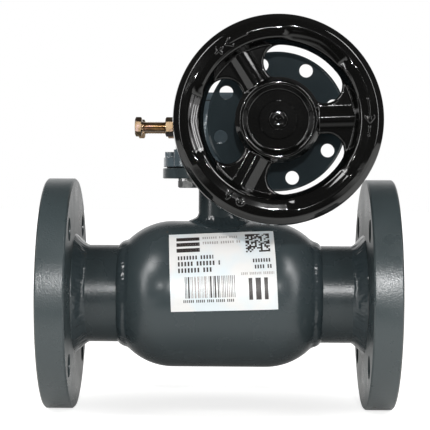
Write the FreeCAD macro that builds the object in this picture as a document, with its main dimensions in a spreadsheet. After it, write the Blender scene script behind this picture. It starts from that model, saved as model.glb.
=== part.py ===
import FreeCAD, Part
import Sketcher
import math
import os
from types import SimpleNamespace

# Flanged ball valve with a worm gear operator and a handwheel, in millimetres.
# The origin is the centre of the ball. X runs along the pipe, Y away from the handwheel, Z up the stem.
# The valve is drawn open. Its long pieces are turned about local Z and then laid along their own axis.

os.makedirs("parts", exist_ok=True)
doc = FreeCAD.newDocument("flanged_ball_valve")
sheet = doc.addObject("Spreadsheet::Sheet", "sizes")

driving_sizes = [
    # clearances
    ("fit_gap", 0.05, "radial clearance of turned fits"),
    ("side_gap", 0.1, "clearance beside keys and tangs"),
    ("face_gap", 0.05, "clearance between faces that slide"),
    # ball and stem
    ("flow_bore_diameter", 50, "reduced bore of the ball"),
    ("slot_web", 6.5, "metal between the ball's bore and the floor of its slot"),
    ("slot_depth", 8.5, "depth of the slot in the ball"),
    ("slot_width", 10, "width of the slot in the ball"),
    ("tang_lift", 1, "distance of the tang from the slot's floor"),
    ("shoulder_lift", 1.5, "distance of the stem's shoulder from the ball"),
    ("shoulder_height", 6, "height of the blow-out shoulder"),
    ("shoulder_lip", 3, "width of the shoulder round the stem"),
    ("tang_step", 1, "step from the shoulder's edge to the tang's end"),
    ("stem_diameter", 20, "diameter of the stem"),
    ("stem_below_cover", 1, "distance of the stem's upper end below the cover"),
    ("thrust_washer_thickness", 2, "thickness of the stem's thrust washer"),
    ("bush_wall", 2, "wall of a stem bush"),
    ("lower_bush_length", 14, "length of the lower stem bush"),
    ("upper_bush_length", 12.4, "length of the upper stem bush"),
    ("stem_ring_section", 2, "section of a stem O-ring"),
    ("stem_ring_lift", 4.5, "distance of the first stem O-ring above the lower bush"),
    ("stem_ring_step", 6, "distance between stem O-rings"),
    ("stem_rings", 3, "number of stem O-rings"),
    ("key_width", 6, "width and height of the stem key"),
    ("key_sink", 3.5, "depth of the key seat in the stem"),
    ("key_length", 30, "length of the key"),
    # seats
    ("seat_step", 1, "step from the ball's bore to the seat's bore"),
    ("seat_wall", 5.5, "radial width of a seat ring"),
    ("seat_thickness", 3.5, "thickness of a seat ring at its bore"),
    ("seat_socket_depth", 7, "depth of the seat's socket in its holder"),
    ("holder_wall", 2.4, "wall of the holder round the seat"),
    ("holder_web", 10, "length of the holder behind the seat"),
    ("holder_proud", 3, "length of the holder that stands out of the stub"),
    ("seat_ring_section", 2.5, "section of the seat holder's O-ring"),
    ("spring_thickness", 1.5, "thickness of a disc spring"),
    ("spring_rise", 3.3, "cone height of a disc spring"),
    ("spring_step", 0.4, "step from the holder to the disc spring's edges"),
    ("spring_stop_width", 6, "width of a spring stop"),
    # pipe stubs and flanges
    ("face_to_face_length", 270, "length over the flange faces"),
    ("pipe_wall", 4, "wall of a pipe stub"),
    ("pipe_setback", 5, "distance of the stub end behind the flange face"),
    ("flange_thickness", 22, "thickness of a flange"),
    ("flange_chamfer", 1.2, "broken edge of a flange"),
    ("flange_bolt_circle", 145, "pitch circle of the flange holes"),
    ("flange_land", 17.5, "width of the flange outside that circle"),
    ("flange_hole_diameter", 18, "diameter of a flange hole"),
    ("flange_holes", 4, "number of flange holes"),
    ("flange_weld_leg", 9, "leg of the fillet weld on a flange"),
    ("face_weld_leg", 4, "leg of the weld inside a flange bore"),
    # body shell
    ("shell_room", 12.15, "room between ball and shell"),
    ("shell_wall", 5, "wall of the body shell"),
    ("shell_half_straight", 36, "half length of the straight stretch of the shell"),
    ("shoulder_radius", 50, "outer radius of the drawn shoulder"),
    ("shell_end_land", 4, "width of the shell's end face"),
    ("body_weld_width", 7.7, "width of the weld between shell and stub"),
    # neck and mounting plate
    ("neck_wall", 4.85, "wall of the neck tube round its bushes"),
    ("neck_reach", 33.25, "distance from the top of the shell to the mounting plate"),
    ("neck_weld_leg", 8, "leg of the saddle weld"),
    ("plate_thickness", 8, "thickness of the mounting plate"),
    ("plate_land", 10, "width of the plate outside the bolt circle"),
    ("plate_chamfer", 0.6, "broken edge of the plate"),
    ("plate_weld_leg", 4, "leg of the weld under the plate"),
    ("mount_circle", 70, "pitch circle of the operator bolts"),
    ("mount_bolt", 8, "thread of the operator bolts"),
    ("mount_bolts", 4, "number of operator bolts"),
    ("mount_bolt_length", 20, "length of the operator bolts"),
    ("mount_hole_gap", 0.5, "radial clearance of the bolts in the plate"),
    ("head_flats", 13, "width across flats of an M8 head"),
    ("head_height", 5.3, "height of an M8 head"),
    ("spring_washer_width", 3.2, "radial width of a spring washer"),
    ("spring_washer_thickness", 2, "thickness of a spring washer"),
    ("spring_washer_split", 1.2, "width of the split in a spring washer"),
    # worm gear
    ("gear_module", 2, "module of quadrant and worm"),
    ("gear_teeth", 30, "teeth of the full wheel that the quadrant is cut from"),
    ("worm_pitch_diameter", 24, "pitch diameter of the single-start worm"),
    ("pressure_angle", 20, "flank angle of the thread"),
    ("gear_root_depth", 2.4, "depth of a tooth space below the pitch circle"),
    ("gear_backlash", 0.4, "play between thread and tooth spaces"),
    ("stem_travel", 90, "turn of the stem from open to closed"),
    ("sector_angle", 120, "angle between the first and the last tooth space"),
    ("worm_turns", 4.5, "turns of thread on the worm"),
    ("tooth_width", 14, "height of the toothed sector"),
    ("hub_diameter", 36, "diameter of the quadrant's hub"),
    ("hub_lift", 1, "distance of the quadrant from the plate gasket"),
    ("hub_in_cover", 3, "length of the quadrant's hub in the cover"),
    ("stop_face", 7.8, "distance of the quadrant's stop faces from the stem axis"),
    # operator housing
    ("gasket_thickness", 1, "thickness of the gasket under the operator"),
    ("gasket_bore_step", 2, "step from the quadrant's hub to the gasket's bore"),
    ("gasket_land", 7, "width of the gasket outside the bolt circle"),
    ("base_land", 9.4, "width of the housing's base outside the bolt circle"),
    ("base_thickness", 7.1, "thickness of the housing's base"),
    ("boss_radius", 11, "radius of the bosses round the mounting bolts"),
    ("boss_height", 13.1, "height of these bosses"),
    ("rib_setback", 1.4, "distance of the left rib's end from the edge of the base"),
    ("rib_width", 20, "width of that rib"),
    ("rib_height", 11.6, "height of that rib"),
    ("floor_thickness", 12.6, "thickness of the housing's floor"),
    ("worm_over_floor", 20.5, "distance of the worm axis above the floor"),
    ("top_over_worm", 16.7, "distance of the housing's upper face above the worm axis"),
    ("cavity_gap", 1.5, "room round the quadrant"),
    ("cavity_left_room", 4, "room between the quadrant's hub and the left wall"),
    ("left_wall", 12.2, "thickness of the left wall, which holds the stop bolts"),
    ("side_wall", 4.5, "thickness of the front and rear wall"),
    ("wall_past_worm", 25, "distance of the right wall past the worm axis"),
    ("left_corner", 12, "radius of the left corners"),
    ("right_corner", 10, "radius of the right corners"),
    ("worm_boss_length", 8, "length of the worm bosses"),
    ("worm_boss_wall", 7.5, "wall of the worm bosses"),
    ("worm_room", 0.5, "room between worm and housing bore"),
    ("cover_gasket_thickness", 0.8, "thickness of the cover gasket"),
    ("cover_thickness", 6, "thickness of the cover"),
    ("cover_round", 3.5, "rounded upper edge of the cover"),
    ("cover_screw", 5, "thread of the cover screws"),
    ("cover_screw_depth", 10, "depth of the cover screws in the housing"),
    ("cover_screw_inset", 8.5, "distance of the cover screws from the walls"),
    ("dial_diameter", 30, "diameter of the position indicator"),
    ("dial_depth", 2, "depth of its seat in the cover"),
    ("dial_stub", 8, "diameter of its stub"),
    ("dial_bar_length", 22.8, "length of the bar cut into it"),
    ("dial_bar_width", 2.6, "width of that bar"),
    ("dial_bar_depth", 0.6, "depth of that bar"),
    ("cap_screw", 4, "thread of the cap screws"),
    ("cap_screws_each", 4, "number of screws in each cap"),
    ("cap_screw_depth", 10, "depth of the screws in the housing"),
    ("cap_thickness", 6, "thickness of the caps"),
    ("cap_spigot", 4, "length of the spigots"),
    ("spigot_wall", 3, "wall of the rear cap's spigot"),
    # worm shaft, nose and locking disc
    ("shaft_diameter", 16, "diameter of the worm shaft in its bushes"),
    ("shaft_nose_diameter", 12, "diameter of the shaft in the wheel hub"),
    ("shaft_proud", 1.5, "length of the shaft past the wheel's dish"),
    ("collar_step", 3, "step from the shaft to the worm's collars"),
    ("collar_width", 2.5, "width of a collar"),
    ("thread_runout", 1, "distance from the thread's ends to the collars"),
    ("worm_washer", 4, "thickness of the worm's thrust washers"),
    ("worm_washer_step", 1, "step from the collars to the washers' edges"),
    ("nose_reach", 15, "length of the nose past the cap screws' face"),
    ("nose_flange_thickness", 7, "thickness of the flange that carries the locking disc"),
    ("nose_flange_land", 6.5, "width of that flange outside the disc screws"),
    ("cap_head_room", 4.5, "distance of the nose tube from the circle of the cap screws"),
    ("seal_wall", 4, "radial width of the shaft seal"),
    ("seal_width", 6, "width of the shaft seal"),
    ("disc_thickness", 5, "thickness of the locking disc"),
    ("disc_hole_circle", 86, "pitch circle of the disc's holes"),
    ("disc_land", 8.5, "width of the disc outside that circle"),
    ("disc_bore_step", 1, "step from the shaft to the disc's bore"),
    ("disc_chamfer", 1.5, "bevel of the disc's front edge"),
    ("disc_hole_diameter", 10, "diameter of the disc's holes"),
    ("disc_holes", 8, "number of the disc's holes"),
    ("disc_hole_angle", 15.5, "angle of the first hole"),
    ("disc_screw", 5, "thread of the screws that hold the disc"),
    ("disc_screws", 3, "number of these screws"),
    ("disc_screw_circle", 37, "pitch circle of these screws"),
    ("disc_screw_depth", 5, "depth of these screws in the nose"),
    # stop bolts
    ("stop_bolt", 8, "thread of the stop bolts"),
    ("front_stop_length", 52.5, "length of the front stop bolt"),
    ("rear_stop_length", 52.5, "length of the rear stop bolt"),
    ("stop_drop", 2.5, "distance of the stop bolts below the worm axis"),
    ("stop_nut_height", 6.5, "height of a lock nut"),
    ("stop_washer_diameter", 16, "outer diameter of a stop washer"),
    ("stop_washer_thickness", 1.6, "thickness of a stop washer"),
    # wheel hub and handwheel
    ("hub_clear_of_disc", 3, "distance of the wheel hub from the locking disc"),
    ("hub_length", 24.5, "length of the wheel hub to the dish floor"),
    ("hub_boss_diameter", 28, "diameter of the wheel hub"),
    ("hub_proud", 1, "height of the hub above the dish"),
    ("hub_collar_step", 5, "step from the hub to its collar behind the sheet"),
    ("hub_collar_width", 4, "width of that collar"),
    ("hub_pin_diameter", 5, "diameter of the cross pin"),
    ("hub_pin_place", 9, "distance of the cross pin from the hub's rear face"),
    ("shaft_step_in", 0.5, "distance of the shaft's step behind the hub"),
    ("shaft_centre_hole", 4.8, "diameter of the centre hole in the shaft's front end"),
    ("small_edge", 1, "broken edge of turned pieces"),
    ("wheel_sheet", 2.5, "thickness of the pressed sheet"),
    ("dish_width", 8.5, "width of the dish round the hub"),
    ("ring_width", 4, "width from the dish to the crest of the hub ring"),
    ("ring_half_crest", 2.2, "half width of the crest"),
    ("ring_crown", 1, "height of the rounded crest"),
    ("ring_arc", 2.9, "radius of that crest"),
    ("rim_arc", 15.5, "radius of the rim's crown"),
    ("skirt_slope", 2, "width of the slope at the rim's foot inside the windows"),
    ("ring_rise", 6, "height of the hub ring above the dish"),
    ("spoke_rise", 1.5, "height of the spokes above the dish"),
    ("window_step", 4.4, "width from the crest of the hub ring to the windows"),
    ("window_depth", 22.9, "radial width of the windows"),
    ("rim_inner_width", 11.2, "width from the windows to the rim's crown"),
    ("rim_outer_width", 11, "width from the crown to the rim's edge"),
    ("rim_skirt_rise", 2.5, "height of the rim's inner skirt above the spokes"),
    ("rim_shoulder_rise", 5, "height of the rim's outer shoulder above the spokes"),
    ("rim_crown_rise", 9, "height of the crown above that shoulder"),
    ("rim_edge_drop", 3, "depth of the rim's rear edge below the spokes"),
    ("spoke_width", 22, "width of a spoke"),
    ("window_rim_fillet", 11, "corner radius of the windows at the rim"),
    ("window_hub_fillet", 5, "corner radius of the windows at the hub"),
    ("spokes", 3, "number of spokes"),
    ("spoke_angle", 2, "angle of the first spoke"),
    ("spoke_rib_width", 11.4, "width of the raised rib on a spoke"),
    ("spoke_rib_rise", 3, "height of that rib"),
    ("rib_overlap", 2, "length of the rib in the ring and the rim"),
]

for row, (alias, number, note) in enumerate(driving_sizes, 1):
    sheet.set(f"A{row}", alias)
    sheet.set(f"B{row}", str(number))
    sheet.setAlias(f"B{row}", alias)
    sheet.set(f"C{row}", note)
doc.recompute()


class Size:
    """A number that keeps the sheet formula it comes from."""

    def __init__(self, value, formula):
        self.value = value
        self.formula = formula

    def __add__(self, other):
        return combine(self, "+", other, lambda a, b: a + b)

    def __radd__(self, other):
        return combine(other, "+", self, lambda a, b: a + b)

    def __sub__(self, other):
        return combine(self, "-", other, lambda a, b: a - b)

    def __rsub__(self, other):
        return combine(other, "-", self, lambda a, b: a - b)

    def __mul__(self, other):
        return combine(self, "*", other, lambda a, b: a * b)

    def __rmul__(self, other):
        return combine(other, "*", self, lambda a, b: a * b)

    def __truediv__(self, other):
        return combine(self, "/", other, lambda a, b: a / b)

    def __rtruediv__(self, other):
        return combine(other, "/", self, lambda a, b: a / b)

    def __neg__(self):
        return combine(0, "-", self, lambda a, b: a - b)


def as_size(number):
    if isinstance(number, Size):
        return number
    return Size(float(number), repr(number))


def combine(first, sign, second, work):
    first = as_size(first)
    second = as_size(second)
    return Size(work(first.value, second.value), f"({first.formula} {sign} {second.formula})")


def root(number):
    return Size(math.sqrt(number.value), f"sqrt({number.formula})")


def sine(angle):
    angle = as_size(angle)
    return Size(math.sin(math.radians(angle.value)), f"sin({angle.formula})")


def cosine(angle):
    angle = as_size(angle)
    return Size(math.cos(math.radians(angle.value)), f"cos({angle.formula})")


def tangent(angle):
    angle = as_size(angle)
    return Size(math.tan(math.radians(angle.value)), f"tan({angle.formula})")


def other_leg(long_side, short_side):
    """The second leg of a right triangle."""
    return root(long_side * long_side - short_side * short_side)


size = SimpleNamespace(
    **{alias: Size(float(sheet.get(alias)), f"sizes.{alias}") for alias, number, note in driving_sizes}
)

# Places that several pieces share, stacked outward from the ball and up from the plate
flow_radius = size.flow_bore_diameter / 2
slot_floor = flow_radius + size.slot_web
ball_radius = slot_floor + size.slot_depth
seat_face = ball_radius + size.fit_gap
seat_inner = flow_radius + size.seat_step
seat_outer = seat_inner + size.seat_wall
holder_outer = seat_outer + size.fit_gap + size.holder_wall
pipe_bore = holder_outer + size.fit_gap
pipe_radius = pipe_bore + size.pipe_wall
seat_back = other_leg(seat_face, seat_inner) + size.seat_thickness
holder_front = seat_back - size.seat_socket_depth
holder_back = seat_back + size.holder_web
half_length = size.face_to_face_length / 2
flange_back = half_length - size.flange_thickness
flange_radius = size.flange_bolt_circle / 2 + size.flange_land
pipe_end = half_length - size.pipe_setback
shell_radius = ball_radius + size.shell_room + size.shell_wall
shell_mouth = pipe_radius + size.fit_gap
shell_end_radius = shell_mouth + size.shell_end_land
shoulder_centre = shell_radius - size.shoulder_radius
shoulder_reach = other_leg(size.shoulder_radius, shell_end_radius - shoulder_centre)
shell_half_length = size.shell_half_straight + shoulder_reach

stem_radius = size.stem_diameter / 2
stem_bore = stem_radius + size.fit_gap
stem_shoulder_radius = stem_radius + size.shoulder_lip
shoulder_bottom = ball_radius + size.shoulder_lift
shoulder_top = shoulder_bottom + size.shoulder_height
tang_bottom = slot_floor + size.tang_lift
half_tang_width = stem_shoulder_radius - size.tang_step
neck_bottom = shoulder_top + size.thrust_washer_thickness
bush_radius = stem_radius + size.bush_wall
neck_radius = bush_radius + size.neck_wall
plate_bottom = shell_radius + size.neck_reach
plate_top = plate_bottom + size.plate_thickness
plate_radius = size.mount_circle / 2 + size.plate_land
lower_bush_top = neck_bottom + size.lower_bush_length
upper_bush_bottom = plate_top - size.upper_bush_length

gear_radius = size.gear_module * size.gear_teeth / 2
gear_tip = gear_radius + size.gear_module
gear_root = gear_radius - size.gear_root_depth
worm_radius = size.worm_pitch_diameter / 2
worm_tip = worm_radius + size.gear_module
worm_offset = gear_radius + worm_radius
hub_radius = size.hub_diameter / 2

housing_bottom = plate_top + size.gasket_thickness
cavity_floor = housing_bottom + size.floor_thickness
worm_height = cavity_floor + size.worm_over_floor
housing_top = worm_height + size.top_over_worm
cover_bottom = housing_top + size.cover_gasket_thickness
cover_top = cover_bottom + size.cover_thickness
dial_floor = cover_top - size.dial_depth
stem_top = cover_bottom - size.stem_below_cover
hub_bottom = housing_bottom + size.hub_lift
hub_top = cover_bottom + size.hub_in_cover
base_radius = size.mount_circle / 2 + size.base_land
rib_reach = base_radius - size.rib_setback
cover_screw_length = size.cover_thickness + size.cover_screw_depth
cavity_radius = gear_tip + size.cavity_gap
cavity_left = hub_radius + size.cavity_left_room
wall_left = cavity_left + size.left_wall
wall_side = cavity_radius + size.side_wall
wall_right = worm_offset + size.wall_past_worm
boss_face = wall_side + size.worm_boss_length
worm_bore = worm_tip + size.worm_room
worm_boss_radius = worm_bore + size.worm_boss_wall
cap_circle = 2 * worm_bore + size.worm_boss_wall

worm_pitch = math.pi * size.gear_module
thread_root_half = worm_pitch / 4 + size.gear_root_depth * tangent(size.pressure_angle)
thread_tip_half = worm_pitch / 4 - size.gear_module * tangent(size.pressure_angle)
shaft_radius = size.shaft_diameter / 2
nose_shaft_radius = size.shaft_nose_diameter / 2
collar_radius = shaft_radius + size.collar_step
collar_in = worm_pitch * size.worm_turns / 2 + thread_root_half + size.thread_runout
collar_out = collar_in + size.collar_width
washer_out = collar_out + size.worm_washer
bush_front = boss_face - size.cap_spigot
cap_face = boss_face + size.cap_thickness
disc_back = cap_face + size.nose_reach
disc_front = disc_back + size.disc_thickness
disc_radius = size.disc_hole_circle / 2 + size.disc_land
disc_screw_length = size.disc_thickness + size.disc_screw_depth
stop_spread = hub_radius + size.stop_bolt / 2
stop_height = worm_height - size.stop_drop
stop_tip = -(size.stop_face + size.face_gap)
nut_face = wall_left + size.stop_washer_thickness

hub_back = disc_front + size.hub_clear_of_disc
dish_floor = hub_back + size.hub_length
spoke_plane = dish_floor + size.spoke_rise
ring_top = dish_floor + size.ring_rise
shaft_front = dish_floor + size.shaft_proud
shaft_step = hub_back - size.shaft_step_in
pin_place = hub_back + size.hub_pin_place
hub_boss_radius = size.hub_boss_diameter / 2
dish_radius = hub_boss_radius + size.dish_width
ring_radius = dish_radius + size.ring_width
window_inner = ring_radius + size.window_step
window_outer = window_inner + size.window_depth
crown_radius = window_outer + size.rim_inner_width
wheel_radius = crown_radius + size.rim_outer_width
rim_skirt = spoke_plane + size.rim_skirt_rise
rim_shoulder = spoke_plane + size.rim_shoulder_rise
rim_crown = rim_shoulder + size.rim_crown_rise
rim_edge = spoke_plane - size.rim_edge_drop

no_turn = FreeCAD.Rotation()
to_right = FreeCAD.Rotation(FreeCAD.Vector(0, 1, 0), 90)
to_left = FreeCAD.Rotation(FreeCAD.Vector(0, 1, 0), -90)
to_front = FreeCAD.Rotation(FreeCAD.Vector(1, 0, 0), 90)
to_rear = FreeCAD.Rotation(FreeCAD.Vector(1, 0, 0), -90)
nodes = []


def bind(item, path, number):
    item.setExpression(path, as_size(number).formula)


def new_body(name, turn=no_turn, place=(0, 0, 0), is_node=True):
    body = doc.addObject("PartDesign::Body", name)
    body.Label = name
    set_place(body, turn, place)
    if is_node:
        nodes.append(body)
    return body


def set_place(item, turn, place):
    spot = FreeCAD.Vector(*[as_size(number).value for number in place])
    item.Placement = FreeCAD.Placement(spot, turn)
    for letter, number in zip("xyz", place):
        bind(item, f"Placement.Base.{letter}", number)


def origin_part(body, role):
    return next(part for part in body.Origin.OriginFeatures if part.Role == role)


def new_sketch(body, name, plane="XY_Plane", lift=0, turn=0):
    """A sketch on a plane of the body's origin, lifted along the plane's normal and turned about it."""
    sketch = body.newObject("Sketcher::SketchObject", f"{body.Name}_{name}")
    sketch.AttachmentSupport = (origin_part(body, plane), [""])
    sketch.MapMode = "FlatFace"
    spin = FreeCAD.Rotation(FreeCAD.Vector(0, 0, 1), as_size(turn).value)
    sketch.AttachmentOffset = FreeCAD.Placement(FreeCAD.Vector(0, 0, as_size(lift).value), spin)
    bind(sketch, "AttachmentOffset.Base.z", lift)
    return sketch


def hold_point(sketch, geometry, point, x, y):
    """Ties a point of the sketch to its distances from the origin."""
    for kind, number in (("DistanceX", x), ("DistanceY", y)):
        number = as_size(number)
        index = sketch.addConstraint(Sketcher.Constraint(kind, -1, 1, geometry, point, number.value))
        bind(sketch, f"Constraints[{index}]", number)


def hold_radius(sketch, geometry, radius):
    index = sketch.addConstraint(Sketcher.Constraint("Radius", geometry, radius.value))
    bind(sketch, f"Constraints[{index}]", radius)


def flat_vector(x, y):
    return FreeCAD.Vector(as_size(x).value, as_size(y).value, 0)


def circle(sketch, radius, x=0, y=0):
    radius = as_size(radius)
    shape = Part.Circle(flat_vector(x, y), FreeCAD.Vector(0, 0, 1), radius.value)
    index = sketch.addGeometry(shape)
    hold_point(sketch, index, 3, x, y)
    hold_radius(sketch, index, radius)


def outline(sketch, corners):
    """A closed outline. A corner is (x, y), or (x, y, radius) where an arc runs on to the next corner.
    The arc turns to the left for a positive radius and to the right for a negative one."""
    edges = []
    for number, corner in enumerate(corners):
        following = corners[(number + 1) % len(corners)]
        start = flat_vector(corner[0], corner[1])
        end = flat_vector(following[0], following[1])
        if len(corner) == 2:
            edges.append((sketch.addGeometry(Part.LineSegment(start, end)), 1, 2))
            continue
        radius = as_size(corner[2])
        chord = end - start
        right = FreeCAD.Vector(chord.y, -chord.x, 0).normalize()
        reach = abs(radius.value)
        rise = reach - math.sqrt(max(reach * reach - chord.Length * chord.Length / 4, 0))
        side = math.copysign(rise, radius.value)
        index = sketch.addGeometry(Part.Arc(start, (start + end) / 2 + right * side, end))
        if radius.value > 0:
            edges.append((index, 1, 2))
            hold_radius(sketch, index, radius)
        else:
            edges.append((index, 2, 1))
            hold_radius(sketch, index, -radius)
    for number, (index, first_point, last_point) in enumerate(edges):
        before = edges[number - 1]
        sketch.addConstraint(Sketcher.Constraint("Coincident", before[0], before[2], index, first_point))
        hold_point(sketch, index, first_point, corners[number][0], corners[number][1])


def rectangle(sketch, low_x, low_y, high_x, high_y):
    outline(sketch, [(low_x, low_y), (high_x, low_y), (high_x, high_y), (low_x, high_y)])


def new_feature(body, kind, name, profile):
    feature = body.newObject(f"PartDesign::{kind}", f"{body.Name}_{name}")
    feature.Profile = profile
    body.Tip = feature
    return feature


def pad(body, name, profile, length, both_ways=False, backwards=False):
    feature = new_feature(body, "Pad", name, profile)
    feature.Midplane = both_ways
    feature.Reversed = backwards
    bind(feature, "Length", length)
    return feature


def pocket(body, name, profile, length=None, both_ways=False, backwards=False):
    """A pocket against the sketch's normal, or along it when backwards. With no length it goes through."""
    feature = new_feature(body, "Pocket", name, profile)
    feature.Midplane = both_ways
    feature.Reversed = backwards
    if length is None:
        feature.Type = "ThroughAll"
    else:
        bind(feature, "Length", length)
    return feature


def revolve(body, name, profile, kind="Revolution"):
    """Turns a profile, drawn as radius and height, about the body's Z axis."""
    feature = new_feature(body, kind, name, profile)
    feature.ReferenceAxis = (profile, ["V_Axis"])
    feature.Angle = 360
    return feature


def repeat_round(body, name, feature, count, angle=360):
    pattern = body.newObject("PartDesign::PolarPattern", f"{body.Name}_{name}")
    pattern.Originals = [feature]
    pattern.Axis = (origin_part(body, "Z_Axis"), [""])
    pattern.Angle = as_size(angle).value
    bind(pattern, "Occurrences", count)
    body.Tip = pattern
    return pattern


def turned_piece(name, corners, turn=no_turn, place=(0, 0, 0), is_node=True):
    """A piece turned from one closed profile of radius and height."""
    body = new_body(name, turn, place, is_node)
    profile = new_sketch(body, "profile", "XZ_Plane")
    outline(profile, corners)
    revolve(body, "turned", profile)
    return body


def ring(name, inner, outer, low, high, turn=no_turn, place=(0, 0, 0), is_node=True):
    corners = [(inner, low), (outer, low), (outer, high), (inner, high)]
    return turned_piece(name, corners, turn, place, is_node)


def drill(body, name, radius, x, y, lift=0, length=None, backwards=False, plane="XY_Plane"):
    hole = new_sketch(body, name, plane, lift)
    circle(hole, radius, x, y)
    return pocket(body, f"{name}_cut", hole, length, backwards=backwards)


def pick_edges(feature, wanted):
    return [f"Edge{number}" for number, edge in enumerate(feature.Shape.Edges, 1) if wanted(edge)]


def soften(body, name, kind, amount, wanted):
    """A fillet or chamfer on the edges of the last feature that the test picks."""
    doc.recompute()
    base = body.Tip
    feature = body.newObject(f"PartDesign::{kind}", f"{body.Name}_{name}")
    feature.Base = (base, pick_edges(base, wanted))
    bind(feature, "Radius" if kind == "Fillet" else "Size", amount)
    body.Tip = feature
    return feature


def round_edge_at(radius, height):
    """Picks full circles of this radius and height about the Z axis."""
    def wanted(edge):
        is_circle = isinstance(edge.Curve, Part.Circle) and edge.isClosed()
        return is_circle and (abs(edge.Curve.Radius - as_size(radius).value) < 0.01
                              and abs(edge.Curve.Center.z - as_size(height).value) < 0.01)
    return wanted


def copies_of(original, name, places, turn=no_turn):
    """Links to the same solid at several places."""
    links = []
    for number, place in enumerate(places, 1):
        link = doc.addObject("App::Link", f"{name}_{number}")
        link.LinkedObject = original
        spot = FreeCAD.Vector(*[as_size(value).value for value in place])
        link.LinkPlacement = FreeCAD.Placement(spot, turn)
        for letter, value in zip("xyz", place):
            bind(link, f"LinkPlacement.Base.{letter}", value)
        links.append(link)
    return links


def join(name, pieces):
    """One node that holds several solids."""
    group = doc.addObject("Part::Compound", name)
    group.Label = name
    group.Links = pieces
    nodes.append(group)


def copies(name, original, places, turn=no_turn):
    join(name, copies_of(original, name, places, turn))


def circle_places(count, diameter, first_angle, height=0):
    """Places on a pitch circle in the XY plane."""
    steps = int(as_size(count).value)
    places = []
    for step in range(steps):
        angle = first_angle + step * 360 / steps
        places.append((diameter / 2 * cosine(angle), diameter / 2 * sine(angle), height))
    return places


def hexagon(sketch, flats):
    corner_radius = flats / (2 * cosine(30))
    turns = [60 * step for step in range(6)]
    outline(sketch, [(corner_radius * cosine(turn), corner_radius * sine(turn)) for turn in turns])


# The flat top of a hexagon head is a circle of this share of its flats.
crown_share = 0.96


def hex_bolt(name, thread, length, flats, head_height):
    """A bolt that hangs from its head: the head lies below Z = 0 and the shank rises."""
    body = new_body(name, is_node=False)
    head = new_sketch(body, "head", lift=-head_height)
    hexagon(head, flats)
    pad(body, "head_pad", head, head_height)
    shank = new_sketch(body, "shank")
    circle(shank, thread / 2)
    pad(body, "shank_pad", shank, length)
    crown = new_sketch(body, "crown", "XZ_Plane")
    crown_edge = flats / 2 * crown_share
    crown_reach = flats
    crown_drop = (crown_reach - crown_edge) * tangent(30)
    outline(crown, [
        (crown_edge, -head_height),
        (crown_reach, crown_drop - head_height),
        (crown_reach, -head_height),
    ])
    revolve(body, "crown_cut", crown, "Groove")
    return body


# Sockets and heads of the screws as shares of their threads
sunk_socket = 0.6
cap_socket = 0.75
cap_head = 1.74


def countersunk_screw(name, thread, length):
    """A countersunk screw with its flat head at Z = 0 and its point below."""
    slope = thread / 2
    corners = [(0, -length), (thread / 2, -length), (thread / 2, -slope), (thread, 0), (0, 0)]
    body = turned_piece(name, corners, is_node=False)
    socket = new_sketch(body, "socket")
    hexagon(socket, thread * sunk_socket)
    pocket(body, "socket_cut", socket, slope)
    return body


def build_flanged_ends():
    for side, turn in (("left", to_left), ("right", to_right)):
        flange = new_body(f"{side}_flange", turn)
        disc = new_sketch(flange, "disc", lift=flange_back)
        circle(disc, flange_radius)
        circle(disc, shell_mouth)
        pad(flange, "disc_pad", disc, size.flange_thickness)
        for edge, height in (("face_edge", half_length), ("back_edge", flange_back)):
            soften(flange, edge, "Chamfer", size.flange_chamfer, round_edge_at(flange_radius, height))
        reach = size.flange_bolt_circle / 2
        hole = drill(flange, "bolt_hole", size.flange_hole_diameter / 2, reach * cosine(45), reach * sine(45))
        hole.Midplane = True
        repeat_round(flange, "bolt_holes", hole, size.flange_holes)

        ring(f"{side}_pipe", pipe_bore, pipe_radius, holder_front + size.holder_proud, pipe_end, turn)

        weld_leg = size.flange_weld_leg
        turned_piece(f"{side}_flange_weld", [
            (shell_mouth, flange_back),
            (shell_mouth, flange_back - weld_leg, weld_leg * 1.6),
            (shell_mouth + weld_leg, flange_back),
        ], turn)
        turned_piece(f"{side}_face_weld", [
            (pipe_bore + size.pipe_wall / 4, pipe_end),
            (pipe_radius, pipe_end),
            (pipe_radius, pipe_end + size.face_weld_leg, weld_leg),
        ], turn)
        turned_piece(f"{side}_body_weld", [
            (shell_mouth, shell_half_length),
            (shell_end_radius, shell_half_length, size.body_weld_width),
            (shell_mouth, shell_half_length + size.body_weld_width),
        ], turn)


def build_shell():
    straight = size.shell_half_straight
    end = shell_half_length
    outer_arc = size.shoulder_radius
    inner_arc = outer_arc - size.shell_wall
    inner_end = straight + other_leg(inner_arc, shell_mouth - shoulder_centre)
    shell = turned_piece("body_shell", [
        (shell_radius, -straight),
        (shell_radius, straight, outer_arc),
        (shell_end_radius, end),
        (shell_mouth, end),
        (shell_mouth, inner_end, -inner_arc),
        (shell_radius - size.shell_wall, straight),
        (shell_radius - size.shell_wall, -straight, -inner_arc),
        (shell_mouth, -inner_end),
        (shell_mouth, -end),
        (shell_end_radius, -end, outer_arc),
    ], to_right)
    hole = new_sketch(shell, "neck_hole", "YZ_Plane")
    circle(hole, neck_radius + size.fit_gap)
    pocket(shell, "neck_hole_cut", hole, shell_radius * 1.2)


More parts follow.
